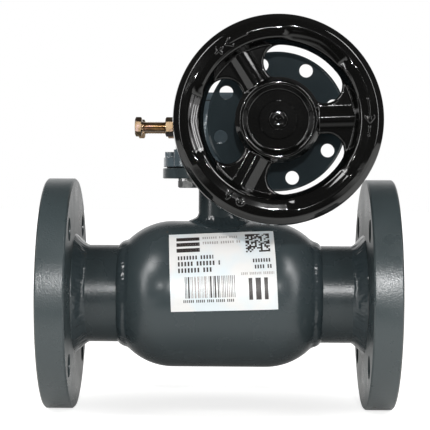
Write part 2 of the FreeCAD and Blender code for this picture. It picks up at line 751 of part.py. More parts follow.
def build_neck():
    turned_piece("neck_tube", [
        (bush_radius, neck_bottom),
        (neck_radius, neck_bottom),
        (neck_radius, plate_top),
        (bush_radius, plate_top),
        (bush_radius, upper_bush_bottom),
        (stem_bore, upper_bush_bottom),
        (stem_bore, lower_bush_top),
        (bush_radius, lower_bush_top),
    ])

    plate = new_body("mounting_plate")
    disc = new_sketch(plate, "disc", lift=plate_bottom)
    circle(disc, plate_radius)
    circle(disc, neck_radius + size.fit_gap)
    pad(plate, "disc_pad", disc, size.plate_thickness)
    for edge, height in (("upper_edge", plate_top), ("lower_edge", plate_bottom)):
        soften(plate, edge, "Chamfer", size.plate_chamfer, round_edge_at(plate_radius, height))
    hole = mount_hole(plate, size.mount_bolt / 2 + size.mount_hole_gap, plate_top)
    repeat_round(plate, "bolt_holes", hole, size.mount_bolts)

    leg = size.plate_weld_leg
    turned_piece("plate_weld", [
        (neck_radius + size.fit_gap, plate_bottom),
        (neck_radius + size.fit_gap, plate_bottom - leg),
        (neck_radius + leg, plate_bottom),
    ])

    # The saddle weld is what a fillet adds in the corner between neck and shell.
    straight = size.shell_half_straight
    shell_skin = add_cylinder("weld_shell", shell_radius + size.fit_gap, straight * 2, to_right,
                              (-straight, 0, 0))
    neck_skin = add_cylinder("weld_neck", neck_radius + size.fit_gap, plate_bottom)
    joined = add_boolean("weld_joined", "Part::Fuse", shell_skin, neck_skin)
    doc.recompute()
    corner = [(number, size.neck_weld_leg.value, size.neck_weld_leg.value)
              for number, edge in enumerate(joined.Shape.Edges, 1)
              if edge.BoundBox.ZMin > neck_radius.value and edge.BoundBox.ZMax < plate_bottom.value - 1
              and edge.BoundBox.XLength < 2 * neck_radius.value + 1 and edge.isClosed()]
    filled = doc.addObject("Part::Fillet", "weld_filled")
    filled.Base = joined
    filled.Edges = corner
    doc.recompute()
    without_shell = add_boolean("weld_without_shell", "Part::Cut", filled, shell_skin)
    weld = add_boolean("neck_weld", "Part::Cut", without_shell, neck_skin)
    nodes.append(weld)


def mount_hole(body, radius, lift, length=None, backwards=False):
    """The first of the four holes on the operator's mounting circle."""
    reach = size.mount_circle / 2
    return drill(body, "mount_hole", radius, reach * cosine(45), reach * sine(45), lift, length, backwards)


def add_cylinder(name, radius, height, turn=no_turn, place=(0, 0, 0)):
    item = doc.addObject("Part::Cylinder", name)
    bind(item, "Radius", radius)
    bind(item, "Height", height)
    set_place(item, turn, place)
    return item


def add_boolean(name, kind, base, tool):
    item = doc.addObject(kind, name)
    item.Label = name
    item.Base = base
    item.Tool = tool
    return item


def build_ball_and_seats():
    ball = new_body("ball")
    half = new_sketch(ball, "half", "XZ_Plane")
    outline(half, [(0, -ball_radius, ball_radius), (ball_radius, 0, ball_radius), (0, ball_radius)])
    revolve(ball, "sphere", half)
    bore = new_sketch(ball, "bore", "YZ_Plane")
    circle(bore, flow_radius)
    pocket(ball, "bore_cut", bore, 2 * ball_radius, both_ways=True)
    slot = new_sketch(ball, "slot", "XZ_Plane")
    rectangle(slot, -size.slot_width / 2, slot_floor, size.slot_width / 2, ball_radius + 1)
    pocket(ball, "slot_cut", slot, 2 * ball_radius, both_ways=True)

    section = size.seat_ring_section / 2
    groove_floor = pipe_bore - 2 * (size.fit_gap + section)
    groove_half = section * groove_share
    groove_place = seat_back + size.holder_web / 2
    spring_outer = holder_outer - size.spring_step
    spring_inner = seat_inner + size.spring_step
    spring_back = holder_back + size.spring_rise
    stop_front = spring_back + size.spring_thickness + size.face_gap
    for side, turn in (("left", to_left), ("right", to_right)):
        turned_piece(f"{side}_seat_ring", [
            (seat_inner, other_leg(seat_face, seat_inner), -seat_face),
            (seat_outer, other_leg(seat_face, seat_outer)),
            (seat_outer, seat_back),
            (seat_inner, seat_back),
        ], turn)
        turned_piece(f"{side}_seat_holder", [
            (seat_outer + size.fit_gap, holder_front),
            (holder_outer, holder_front),
            (holder_outer, groove_place - groove_half),
            (groove_floor, groove_place - groove_half),
            (groove_floor, groove_place + groove_half),
            (holder_outer, groove_place + groove_half),
            (holder_outer, holder_back),
            (seat_inner, holder_back),
            (seat_inner, seat_back + size.face_gap),
            (seat_outer + size.fit_gap, seat_back + size.face_gap),
        ], turn)
        o_ring(f"{side}_seat_o_ring", pipe_bore - size.fit_gap - section, groove_place, section, turn)
        turned_piece(f"{side}_disc_spring", [
            (spring_outer, holder_back + size.face_gap),
            (spring_outer, holder_back + size.spring_thickness),
            (spring_inner, spring_back + size.spring_thickness),
            (spring_inner, spring_back + size.face_gap),
        ], turn)
        ring(f"{side}_spring_stop", seat_inner, holder_outer, stop_front,
             stop_front + size.spring_stop_width, turn)


# An O-ring's groove is this much wider than the ring.
groove_share = 1.3


def o_ring(name, radius, height, section, turn=no_turn, is_node=True):
    body = new_body(name, turn, is_node=is_node)
    profile = new_sketch(body, "section", "XZ_Plane")
    circle(profile, section, radius, height)
    revolve(body, "turned", profile)
    return body


def build_stem():
    section = size.stem_ring_section / 2
    groove_floor = stem_bore - 2 * (size.fit_gap + section)
    groove_half = section * groove_share
    first_ring = lower_bush_top + size.stem_ring_lift
    ring_heights = [first_ring + step * size.stem_ring_step for step in range(int(size.stem_rings.value))]

    stem = new_body("stem")
    tang = new_sketch(stem, "tang", lift=tang_bottom)
    half_tang = size.slot_width / 2 - size.side_gap
    rectangle(tang, -half_tang, -half_tang_width, half_tang, half_tang_width)
    pad(stem, "tang_pad", tang, shoulder_bottom - tang_bottom)
    shoulder = new_sketch(stem, "shoulder", lift=shoulder_bottom)
    circle(shoulder, stem_shoulder_radius)
    pad(stem, "shoulder_pad", shoulder, shoulder_top - shoulder_bottom)
    shank = new_sketch(stem, "shank", lift=shoulder_top)
    circle(shank, stem_radius)
    pad(stem, "shank_pad", shank, stem_top - shoulder_top)
    soften(stem, "top_edge", "Chamfer", size.small_edge, round_edge_at(stem_radius, stem_top))
    for number, height in enumerate(ring_heights, 1):
        groove = new_sketch(stem, f"groove_{number}", "XZ_Plane")
        rectangle(groove, groove_floor, height - groove_half, stem_radius + 1, height + groove_half)
        revolve(stem, f"groove_{number}_cut", groove, "Groove")
    seat = new_sketch(stem, "key_seat", lift=cavity_floor - size.face_gap)
    half_key = size.key_width / 2
    half_seat = half_key + size.fit_gap
    rectangle(seat, -stem_radius - 1, -half_seat, size.key_sink - stem_radius, half_seat)
    pocket(stem, "key_seat_cut", seat, size.key_length + 2 * size.face_gap, backwards=True)

    key = new_body("stem_key")
    foot = new_sketch(key, "foot", lift=cavity_floor)
    key_inner = size.key_sink - stem_radius - size.face_gap
    rectangle(foot, key_inner - size.key_width, -half_key, key_inner, half_key)
    pad(key, "bar", foot, size.key_length)

    rings = [o_ring(f"stem_ring_{number}", stem_bore - size.fit_gap - section, height, section, is_node=False)
             for number, height in enumerate(ring_heights, 1)]
    join("stem_o_rings", rings)

    ring("stem_thrust_washer", stem_bore, stem_shoulder_radius, shoulder_top + size.face_gap,
         neck_bottom - size.face_gap)
    bush_outer = bush_radius - size.fit_gap
    ring("lower_stem_bush", stem_bore, bush_outer, neck_bottom, lower_bush_top - size.face_gap)
    ring("upper_stem_bush", stem_bore, bush_outer, upper_bush_bottom + size.face_gap, plate_top)


def build_mounting_bolts():
    under_washer = plate_bottom - size.spring_washer_thickness
    bolt = hex_bolt("mounting_bolt", size.mount_bolt, size.mount_bolt_length, size.head_flats,
                    size.head_height)
    copies("mounting_bolts", bolt, circle_places(size.mount_bolts, size.mount_circle, 45, under_washer))
    inner = size.mount_bolt / 2 + size.side_gap
    washer = new_body("spring_washer", is_node=False)
    flat = new_sketch(washer, "flat")
    circle(flat, inner + size.spring_washer_width)
    circle(flat, inner)
    pad(washer, "flat_pad", flat, size.spring_washer_thickness)
    split = new_sketch(washer, "split")
    rectangle(split, 0, -size.spring_washer_split / 2, size.mount_bolt, size.spring_washer_split / 2)
    pocket(washer, "split_cut", split, backwards=True)
    copies("spring_washers", washer, circle_places(size.mount_bolts, size.mount_circle, 45, under_washer))

    gasket = new_body("base_gasket")
    sheet_face = new_sketch(gasket, "sheet", lift=plate_top)
    circle(sheet_face, size.mount_circle / 2 + size.gasket_land)
    circle(sheet_face, hub_radius + size.gasket_bore_step)
    pad(gasket, "sheet_pad", sheet_face, size.gasket_thickness)
    hole = mount_hole(gasket, size.mount_bolt / 2 + size.mount_hole_gap, housing_bottom)
    repeat_round(gasket, "bolt_holes", hole, size.mount_bolts)


def housing_outline(sketch, past=0):
    """The housing's plan: a straight left wall for the stop bolts and a right wall past the worm."""
    left = -wall_left
    side = wall_side
    curve = size.left_corner
    bend = size.right_corner
    outline(sketch, [
        (left, side - curve),
        (left, curve - side, curve),
        (left + curve, -side),
        (wall_right - bend, -side, bend),
        (wall_right, bend - side),
        (wall_right, side - bend, bend),
        (wall_right - bend, side),
        (left + curve, side, curve),
    ])


def cover_screw_places(height):
    near = size.cover_screw_inset
    left = near - wall_left
    right = wall_right - near
    side = wall_side - near
    return [(left, -side, height), (left, side, height), (right, -side, height), (right, side, height)]


def build_housing():
    housing = new_body("gearbox_housing")
    base = new_sketch(housing, "base", lift=housing_bottom)
    circle(base, base_radius)
    pad(housing, "base_pad", base, size.base_thickness)
    reach = size.mount_circle / 2
    boss = new_sketch(housing, "boss", lift=housing_bottom)
    circle(boss, size.boss_radius, reach * cosine(45), reach * sine(45))
    boss_pad = pad(housing, "boss_pad", boss, size.boss_height)
    repeat_round(housing, "bosses", boss_pad, size.mount_bolts)
    rib = new_sketch(housing, "rib", lift=housing_bottom)
    rectangle(rib, -rib_reach, -size.rib_width / 2, 0, size.rib_width / 2)
    pad(housing, "rib_pad", rib, size.rib_height)
    walls = new_sketch(housing, "walls", lift=housing_bottom + size.base_thickness)
    housing_outline(walls)
    pad(housing, "walls_pad", walls, housing_top - housing_bottom - size.base_thickness)
    for end, sign in (("front", 1), ("rear", -1)):
        worm_boss = new_sketch(housing, f"{end}_boss", "XZ_Plane", lift=sign * boss_face)
        circle(worm_boss, worm_boss_radius, worm_offset, worm_height)
        pad(housing, f"{end}_boss_pad", worm_boss, boss_face - wall_side, backwards=sign > 0)

    cavity = new_sketch(housing, "cavity", lift=housing_top)
    cavity_side = other_leg(cavity_radius, cavity_left)
    outline(cavity, [
        (-cavity_left, cavity_side),
        (-cavity_left, -cavity_side, cavity_radius),
        (cavity_radius, 0, cavity_radius),
    ])
    pocket(housing, "cavity_cut", cavity, housing_top - cavity_floor)
    drill(housing, "stem_bore", hub_radius + size.fit_gap, 0, 0, housing_bottom, cavity_floor, backwards=True)
    across = new_sketch(housing, "worm_bore", "XZ_Plane")
    circle(across, worm_bore, worm_offset, worm_height)
    pocket(housing, "worm_bore_cut", across, 2 * boss_face, both_ways=True)

    stops = new_sketch(housing, "stop_holes", "YZ_Plane", lift=-wall_left)
    for sign in (-1, 1):
        circle(stops, size.stop_bolt / 2 + size.fit_gap, sign * stop_spread, stop_height)
    pocket(housing, "stop_holes_cut", stops, wall_left - size.stop_face, backwards=True)

    hole_depth = size.mount_bolt_length - size.plate_thickness - size.gasket_thickness
    hole = mount_hole(housing, size.mount_bolt / 2 + size.fit_gap, housing_bottom, hole_depth, backwards=True)
    repeat_round(housing, "mount_holes", hole, size.mount_bolts)

    screws = new_sketch(housing, "cover_screw_holes", lift=housing_top)
    for x, y, height in cover_screw_places(0):
        circle(screws, size.cover_screw / 2 + size.fit_gap, x, y)
    pocket(housing, "cover_screw_holes_cut", screws, size.cover_screw_depth)
    for end, sign in (("front", 1), ("rear", -1)):
        cap_holes = new_sketch(housing, f"{end}_cap_holes", "XZ_Plane", lift=sign * boss_face)
        for x, y, height in circle_places(size.cap_screws_each, cap_circle, 45):
            circle(cap_holes, size.cap_screw / 2 + size.fit_gap, worm_offset + x, worm_height + y)
        pocket(housing, f"{end}_cap_holes_cut", cap_holes, size.cap_screw_depth, backwards=sign < 0)


def build_cover():
    gasket = new_body("cover_gasket")
    sheet_face = new_sketch(gasket, "sheet", lift=housing_top)
    housing_outline(sheet_face)
    circle(sheet_face, cavity_radius)
    for x, y, height in cover_screw_places(0):
        circle(sheet_face, size.cover_screw / 2 + size.side_gap, x, y)
    pad(gasket, "sheet_pad", sheet_face, size.cover_gasket_thickness)

    cover = new_body("gearbox_cover")
    plate = new_sketch(cover, "plate", lift=cover_bottom)
    housing_outline(plate)
    pad(cover, "plate_pad", plate, size.cover_thickness)
    top = cover_top.value
    soften(cover, "round", "Fillet", size.cover_round,
           lambda edge: edge.BoundBox.ZMin > top - 0.01 and edge.BoundBox.ZMax < top + 0.01)
    journal_depth = hub_top - cover_bottom + size.face_gap
    drill(cover, "journal", hub_radius + size.fit_gap, 0, 0, cover_bottom, journal_depth, backwards=True)
    drill(cover, "dial_seat", size.dial_diameter / 2, 0, 0, cover_top, size.dial_depth)
    drill(cover, "dial_hole", size.dial_stub / 2 + size.fit_gap, 0, 0, cover_top)
    for number, (x, y, height) in enumerate(cover_screw_places(0), 1):
        sink = new_sketch(cover, f"screw_hole_{number}", lift=cover_top)
        circle(sink, size.cover_screw / 2 + size.side_gap, x, y)
        pocket(cover, f"screw_hole_{number}_cut", sink)
    cover_screw_seats(cover)

    screw = countersunk_screw("cover_screw_piece", size.cover_screw, cover_screw_length)
    copies("cover_screws", screw, cover_screw_places(cover_top - size.face_gap))

    dial = new_body("position_indicator")
    disc = new_sketch(dial, "disc", lift=dial_floor + size.face_gap)
    circle(disc, size.dial_diameter / 2 - size.side_gap)
    pad(dial, "disc_pad", disc, size.dial_depth - 2 * size.face_gap)
    stub = new_sketch(dial, "stub", lift=stem_top)
    circle(stub, size.dial_stub / 2)
    pad(dial, "stub_pad", stub, dial_floor + size.face_gap - stem_top)
    bar = new_sketch(dial, "bar", lift=cover_top - size.face_gap)
    rectangle(bar, -size.dial_bar_length / 2, -size.dial_bar_width / 2, size.dial_bar_length / 2,
              size.dial_bar_width / 2)
    pocket(dial, "bar_cut", bar, size.dial_bar_depth)


def cover_screw_seats(cover):
    """The cones that take the countersunk heads, cut with a tapered pocket."""
    seats = new_sketch(cover, "screw_seats", lift=cover_top)
    for x, y, height in cover_screw_places(0):
        circle(seats, size.cover_screw + size.side_gap, x, y)
    cones = pocket(cover, "screw_seats_cut", seats, size.cover_screw / 2)
    cones.TaperAngle = -45


def build_quadrant():
    mid_turn = size.stem_travel / 2
    quadrant = new_body("quadrant_gear", FreeCAD.Rotation(FreeCAD.Vector(0, 0, 1), mid_turn.value))
    hub = new_sketch(quadrant, "hub", lift=hub_bottom)
    circle(hub, hub_radius)
    pad(quadrant, "hub_pad", hub, hub_top - hub_bottom)
    sector = new_sketch(quadrant, "sector", lift=worm_height)
    # The stop faces lie parallel to the sector's edges at half the travel to either side.
    half_travel = size.stem_travel / 2
    along = other_leg(gear_tip, size.stop_face)
    corner_x = along * cosine(half_travel) - size.stop_face * sine(half_travel)
    corner_y = along * sine(half_travel) + size.stop_face * cosine(half_travel)
    outline(sector, [
        (-size.stop_face / sine(half_travel), 0),
        (corner_x, -corner_y, gear_tip),
        (gear_tip, 0, gear_tip),
        (corner_x, corner_y),
    ])
    pad(quadrant, "sector_pad", sector, size.tooth_width, both_ways=True)

    # One tooth space of an involute wheel: half widths from the root to past the tip.
    base_circle = gear_radius * cosine(size.pressure_angle)
    flank_start = math.tan(math.radians(size.pressure_angle.value)) - math.radians(size.pressure_angle.value)
    first_turn = -size.sector_angle / 2
    space = new_sketch(quadrant, "space", lift=worm_height, turn=first_turn)
    left_side = []
    for part in (0.0, 0.35, 0.7, 1.0):
        radius = base_circle * (1 - part) + (gear_tip + 1) * part
        opening = math.acos(min(base_circle.value / radius.value, 1))
        spread = math.tan(opening) - opening - flank_start + math.pi / (2 * size.gear_teeth.value)
        half_width = radius * math.sin(spread) + size.gear_backlash / 2
        left_side.append((radius * math.cos(spread), half_width))
    root_half = left_side[0][1]
    right_side = [(x, -y) for x, y in reversed(left_side)]
    outline(space, right_side + [(gear_root, -root_half), (gear_root, root_half)] + left_side)
    cut = pocket(quadrant, "space_cut", space, size.tooth_width * 1.5, both_ways=True)
    lead = math.atan(size.gear_module.value / size.worm_pitch_diameter.value)
    start = math.radians(first_turn.value)
    cut.UseCustomVector = True
    slant = math.sin(lead)
    cut.Direction = FreeCAD.Vector(-math.sin(start) * slant, math.cos(start) * slant, math.cos(lead))
    spaces = round(size.sector_angle.value * size.gear_teeth.value / 360) + 1
    repeat_round(quadrant, "spaces", cut, spaces, size.sector_angle)

    drill(quadrant, "stem_bore", stem_bore, 0, 0, hub_top)
    keyway = new_sketch(quadrant, "keyway", lift=hub_top, turn=-mid_turn)
    half_key = size.key_width / 2 + size.side_gap
    key_outer = stem_radius + size.key_width - size.key_sink + 2 * size.side_gap
    rectangle(keyway, -key_outer, -half_key, 0, half_key)
    pocket(quadrant, "keyway_cut", keyway)


def build_worm_shaft():
    worm_place = (worm_offset, 0, worm_height)
    core_radius = worm_radius - size.gear_root_depth
    shaft = turned_piece("worm_shaft", [
        (0, -bush_front),
        (shaft_radius, -bush_front),
        (shaft_radius, -collar_out),
        (collar_radius, -collar_out),
        (collar_radius, -collar_in),
        (core_radius, -collar_in),
        (core_radius, collar_in),
        (collar_radius, collar_in),
        (collar_radius, collar_out),
        (shaft_radius, collar_out),
        (shaft_radius, shaft_step),
        (nose_shaft_radius, shaft_step),
        (nose_shaft_radius, shaft_front - size.small_edge),
        (nose_shaft_radius - size.small_edge, shaft_front),
        (size.shaft_centre_hole / 2, shaft_front),
        (0, shaft_front - size.shaft_centre_hole / 2),
    ], to_front, worm_place)
    pin_hole(shaft)

    # The thread is clocked to the tooth spaces at rest and runs evenly to both sides.
    phase = (size.gear_teeth.value * size.stem_travel.value / 720 + 0.5) % 1
    turns_back = round(size.worm_turns.value / 2 - phase)
    start = -worm_pitch * (turns_back + phase)
    thread_section = new_sketch(shaft, "thread_section", "XZ_Plane")
    outline(thread_section, [
        (core_radius - size.side_gap, start - thread_root_half),
        (worm_tip, start - thread_tip_half),
        (worm_tip, start + thread_tip_half),
        (core_radius - size.side_gap, start + thread_root_half),
    ])
    thread = new_feature(shaft, "AdditiveHelix", "thread", thread_section)
    thread.ReferenceAxis = (thread_section, ["V_Axis"])
    thread.Mode = 0
    thread.LeftHanded = False
    bind(thread, "Pitch", worm_pitch)
    bind(thread, "Height", worm_pitch * size.worm_turns)

    bush_inner = shaft_radius + size.fit_gap
    bush_outer = worm_bore - size.fit_gap
    bush_end = bush_front - size.face_gap
    ring("front_worm_bush", bush_inner, bush_outer, washer_out, bush_end, to_front, worm_place)
    ring("rear_worm_bush", bush_inner, bush_outer, -bush_end, -washer_out, to_front, worm_place)
    washer_inner = shaft_radius + size.side_gap
    washer_outer = collar_radius + size.worm_washer_step
    low = collar_out + size.face_gap
    high = washer_out - size.face_gap
    front_washer = ring("front_worm_washer", washer_inner, washer_outer, low, high, to_front,
                        worm_place, False)
    rear_washer = ring("rear_worm_washer", washer_inner, washer_outer, -high, -low, to_front,
                       worm_place, False)
    join("worm_thrust_washers", [front_washer, rear_washer])


def pin_hole(body):
    hole = new_sketch(body, "pin_hole", "XZ_Plane")
    circle(hole, size.hub_pin_diameter / 2 + size.fit_gap / 2, 0, pin_place)
    pocket(body, "pin_hole_cut", hole, 3 * hub_boss_radius, both_ways=True)


def build_nose():
    worm_place = (worm_offset, 0, worm_height)
    spigot = worm_bore - size.fit_gap
    shaft_hole = shaft_radius + size.side_gap
    tube_radius = cap_circle / 2 - size.cap_head_room
    seal_radius = shaft_radius + size.seal_wall
    flange_radius = size.disc_screw_circle / 2 + size.nose_flange_land
    flange_start = disc_back - size.nose_flange_thickness
    nose = turned_piece("nose_cap", [
        (shaft_hole, bush_front),
        (spigot, bush_front),
        (spigot, boss_face),
        (worm_boss_radius, boss_face),
        (worm_boss_radius, cap_face - size.small_edge),
        (worm_boss_radius - size.small_edge, cap_face),
        (tube_radius, cap_face),
        (tube_radius, flange_start),
        (flange_radius, flange_start),
        (flange_radius, disc_back),
        (seal_radius, disc_back),
        (seal_radius, disc_back - size.seal_width),
        (shaft_hole, disc_back - size.seal_width),
    ], to_front, worm_place)
    rear = turned_piece("rear_cap", [
        (0, -cap_face),
        (worm_boss_radius - size.small_edge, -cap_face),
        (worm_boss_radius, size.small_edge - cap_face),
        (worm_boss_radius, -boss_face),
        (spigot, -boss_face),
        (spigot, -bush_front),
        (spigot - size.spigot_wall, -bush_front),
        (spigot - size.spigot_wall, -boss_face),
        (0, -boss_face),
    ], to_front, worm_place)
    for cap, height, backwards in ((nose, boss_face, True), (rear, -boss_face, False)):
        hole = new_sketch(cap, "screw_hole", lift=height)
        x, y, drop = circle_places(size.cap_screws_each, cap_circle, 45)[0]
        circle(hole, size.cap_screw / 2 + size.side_gap, x, y)
        cut = pocket(cap, "screw_hole_cut", hole, size.cap_thickness, backwards=backwards)
        repeat_round(cap, "screw_holes", cut, size.cap_screws_each)

    thread_hole = new_sketch(nose, "disc_screw_hole", lift=disc_back)
    circle(thread_hole, size.disc_screw / 2 + size.fit_gap, size.disc_screw_circle / 2, 0)
    cut = pocket(nose, "disc_screw_hole_cut", thread_hole, size.disc_screw_depth)
    repeat_round(nose, "disc_screw_holes", cut, size.disc_screws)

    ring("shaft_seal", shaft_radius + size.fit_gap, seal_radius - size.fit_gap,
         disc_back - size.seal_width + size.face_gap, disc_back - size.face_gap, to_front, worm_place)

    screw = new_body("cap_screw_piece", is_node=False)
    shank = new_sketch(screw, "shank")
    circle(shank, size.cap_screw / 2)
    pad(screw, "shank_pad", shank, size.cap_screw_depth + size.cap_thickness, backwards=True)
    head = new_sketch(screw, "head")
    circle(head, size.cap_screw * cap_head / 2)
    pad(screw, "head_pad", head, size.cap_screw)
    socket = new_sketch(screw, "socket", lift=size.cap_screw)
    hexagon(socket, size.cap_screw * cap_socket)
    pocket(screw, "socket_cut", socket, size.cap_screw / 2)
    cap_screws = []
    for end, sign, turn in (("front", -1, to_front), ("rear", 1, to_rear)):
        spots = circle_places(size.cap_screws_each, cap_circle, 45)
        places = [(worm_offset + x, sign * cap_face, worm_height + y) for x, y, drop in spots]
        cap_screws += copies_of(screw, f"{end}_cap_screw", places, turn)
    join("cap_screws", cap_screws)

    disc = new_body("locking_disc", to_front, worm_place)
    face = new_sketch(disc, "face", lift=disc_back)
    circle(face, disc_radius)
    circle(face, shaft_radius + size.disc_bore_step)
    pad(disc, "face_pad", face, size.disc_thickness)
    soften(disc, "bevel", "Chamfer", size.disc_chamfer, round_edge_at(disc_radius, disc_front))
    reach = size.disc_hole_circle / 2
    angle = size.disc_hole_angle
    hole = drill(disc, "lock_hole", size.disc_hole_diameter / 2, reach * cosine(angle),
                 reach * sine(angle), disc_front)
    repeat_round(disc, "lock_holes", hole, size.disc_holes)
    seat_edge = new_sketch(disc, "screw_seat", "XY_Plane", disc_front)
    circle(seat_edge, size.disc_screw + size.side_gap, size.disc_screw_circle / 2, 0)
    cone = pocket(disc, "screw_seat_cut", seat_edge, size.disc_screw / 2)
    cone.TaperAngle = -45
    repeat_round(disc, "screw_seats", cone, size.disc_screws)
    screw_hole = drill(disc, "screw_hole", size.disc_screw / 2 + size.side_gap,
                       size.disc_screw_circle / 2, 0, disc_front)
    repeat_round(disc, "screw_holes", screw_hole, size.disc_screws)

    disc_screw = countersunk_screw("disc_screw_piece", size.disc_screw, disc_screw_length - size.face_gap)
    places = []
    for x, y, drop in circle_places(size.disc_screws, size.disc_screw_circle, 0):
        places.append((worm_offset + x, size.face_gap - disc_front, worm_height + y))
    copies("disc_screws", disc_screw, places, to_front)


def build_stops():
    bolts = []
    for end, sign, length in (("front", -1, size.front_stop_length), ("rear", 1, size.rear_stop_length)):
        bolt = hex_bolt(f"{end}_stop_bolt", size.stop_bolt, length, size.head_flats, size.head_height)
        set_place(bolt, to_right, (stop_tip - length, sign * stop_spread, stop_height))
        bolts.append(bolt)
    join("stop_bolts", bolts)

    nut = new_body("stop_locknut_piece", is_node=False)
    block = new_sketch(nut, "block")
    hexagon(block, size.head_flats)
    circle(block, size.stop_bolt / 2 + size.fit_gap)
    pad(nut, "block_pad", block, size.stop_nut_height)
    nut_places = [(-nut_face - size.stop_nut_height, sign * stop_spread, stop_height) for sign in (-1, 1)]
    copies("stop_locknuts", nut, nut_places, to_right)
    washer = ring("stop_washer_piece", size.stop_bolt / 2 + size.side_gap, size.stop_washer_diameter / 2, 0,
                  size.stop_washer_thickness, is_node=False)
    washer_places = [(-nut_face, sign * stop_spread, stop_height) for sign in (-1, 1)]
    copies("stop_washers", washer, washer_places, to_right)


def build_handwheel():
    worm_place = (worm_offset, 0, worm_height)
    skin = size.wheel_sheet
    clocked = to_front.multiply(FreeCAD.Rotation(FreeCAD.Vector(0, 0, 1), size.spoke_angle.value))
    half = skin / 2
    ring_in = ring_radius - size.ring_half_crest
    ring_out = ring_radius + size.ring_half_crest
    ring_side = ring_top - size.ring_crown
    skirt_foot = window_outer - size.skirt_slope
    skirt_top = window_outer + size.skirt_slope / 2
    wheel = turned_piece("handwheel", [
        (hub_boss_radius + size.fit_gap, dish_floor - skin),
        (dish_radius + half, dish_floor - skin),
        (ring_in + half, ring_side - skin, half - size.ring_arc),
        (ring_out - half, ring_side - skin),
        (window_inner - half, spoke_plane - skin),
        (skirt_foot + half, spoke_plane - skin),
        (skirt_top + skin, rim_skirt - half, -(size.rim_arc - half)),
        (crown_radius, rim_crown - skin, -(size.rim_arc - half)),
        (wheel_radius - skin, rim_shoulder),
        (wheel_radius - skin, rim_edge),
        (wheel_radius, rim_edge),
        (wheel_radius, rim_shoulder, size.rim_arc),
        (crown_radius, rim_crown, size.rim_arc),
        (skirt_top, rim_skirt + half),
        (skirt_foot, spoke_plane),
        (window_inner, spoke_plane),
        (ring_out, ring_side, size.ring_arc),
        (ring_in, ring_side),
        (dish_radius, dish_floor),
        (hub_boss_radius + size.fit_gap, dish_floor),
    ], clocked, worm_place)

    rib = new_sketch(wheel, "spoke_rib", "YZ_Plane", lift=window_inner - size.rib_overlap)
    half_rib = size.spoke_rib_width / 2
    foot = spoke_plane - skin / 2
    rib_radius = (half_rib * half_rib / size.spoke_rib_rise + size.spoke_rib_rise) / 2
    outline(rib, [
        (-half_rib, foot),
        (half_rib, foot),
        (half_rib, spoke_plane, rib_radius),
        (-half_rib, spoke_plane),
    ])
    rib_pad = pad(wheel, "spoke_rib_pad", rib, window_outer - window_inner + 2 * size.rib_overlap)
    repeat_round(wheel, "spoke_ribs", rib_pad, size.spokes)

    window = new_sketch(wheel, "window", lift=rim_crown)
    outline(window, window_corners())
    cut = pocket(wheel, "window_cut", window)
    repeat_round(wheel, "windows", cut, size.spokes)

    edge = size.small_edge
    boss_top = dish_floor + size.hub_proud
    collar_front = dish_floor - skin - size.face_gap
    collar_back = collar_front - size.hub_collar_width
    bore = nose_shaft_radius + size.fit_gap
    hub = turned_piece("wheel_hub", [
        (bore, hub_back),
        (hub_boss_radius - edge, hub_back),
        (hub_boss_radius, hub_back + edge),
        (hub_boss_radius, collar_back),
        (hub_boss_radius + size.hub_collar_step, collar_back),
        (hub_boss_radius + size.hub_collar_step, collar_front),
        (hub_boss_radius, collar_front),
        (hub_boss_radius, boss_top - edge / 2),
        (hub_boss_radius - edge / 2, boss_top),
        (bore + edge, boss_top),
        (bore, boss_top - edge),
    ], to_front, worm_place)
    pin_hole(hub)
    pin = new_body("hub_pin", to_front, worm_place)
    section = new_sketch(pin, "section", "XZ_Plane")
    circle(section, size.hub_pin_diameter / 2, 0, pin_place)
    pad(pin, "rod", section, 2 * hub_boss_radius - edge, both_ways=True)


def window_corners():
    """One kidney-shaped window that starts at the spoke at 0 degrees, with rounded corners."""
    offset = size.spoke_width / 2
    outer = window_outer
    inner = window_inner
    big = size.window_rim_fillet
    small = size.window_hub_fillet
    corners_at_first_spoke = []
    big_along = other_leg(outer - big, offset + big)
    scale_out = outer / (outer - big)
    small_along = other_leg(inner + small, offset + small)
    scale_in = inner / (inner + small)
    corners_at_first_spoke.append((small_along * scale_in, (offset + small) * scale_in, -small))
    corners_at_first_spoke.append((small_along, offset))
    corners_at_first_spoke.append((big_along, offset, big))
    corners_at_first_spoke.append((big_along * scale_out, (offset + big) * scale_out, outer))
    # The same corners mirrored about the window's middle line
    whole = 360 / size.spokes
    middle_angle = whole / 2
    mirrored = []
    for corner in reversed(corners_at_first_spoke):
        x, y = corner[0], corner[1]
        mirrored.append((y * sine(whole) + x * cosine(whole), x * sine(whole) - y * cosine(whole)))
    outer_start = corners_at_first_spoke[3]
    middle = (outer * cosine(middle_angle), outer * sine(middle_angle), outer)
    inner_middle = (inner * cosine(middle_angle), inner * sine(middle_angle), -inner)
    return corners_at_first_spoke[:3] + [
        outer_start,
        middle,
        (mirrored[0][0], mirrored[0][1], big),
        mirrored[1],
        (mirrored[2][0], mirrored[2][1], -small),
        (mirrored[3][0], mirrored[3][1], -inner),
        inner_middle,
    ]


build_flanged_ends()
build_shell()
build_neck()
build_ball_and_seats()
build_stem()
build_mounting_bolts()
build_housing()
build_cover()
build_quadrant()
build_worm_shaft()
build_nose()
build_stops()
build_handwheel()
doc.recompute()

failed = [item.Name for item in doc.Objects if {"Invalid", "Error"} & set(item.State)]
if failed:
    raise SystemExit(f"failed objects: {failed}")
for node in nodes:
    if node.Shape.isNull() or not node.Shape.isValid() or not node.Shape.Solids:
        raise SystemExit(f"bad shape: {node.Label}")
for node in nodes:
    node.Shape.exportStep(f"parts/{node.Label}.step")
    print(f"{node.Label}: {len(node.Shape.Solids)} solids, {node.Shape.Volume:.0f} mm3")
print(f"{len(nodes)} sub-parts")
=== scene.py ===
import math
import random

import bpy
import numpy as np
from mathutils import Matrix, Vector, geometry, kdtree, noise


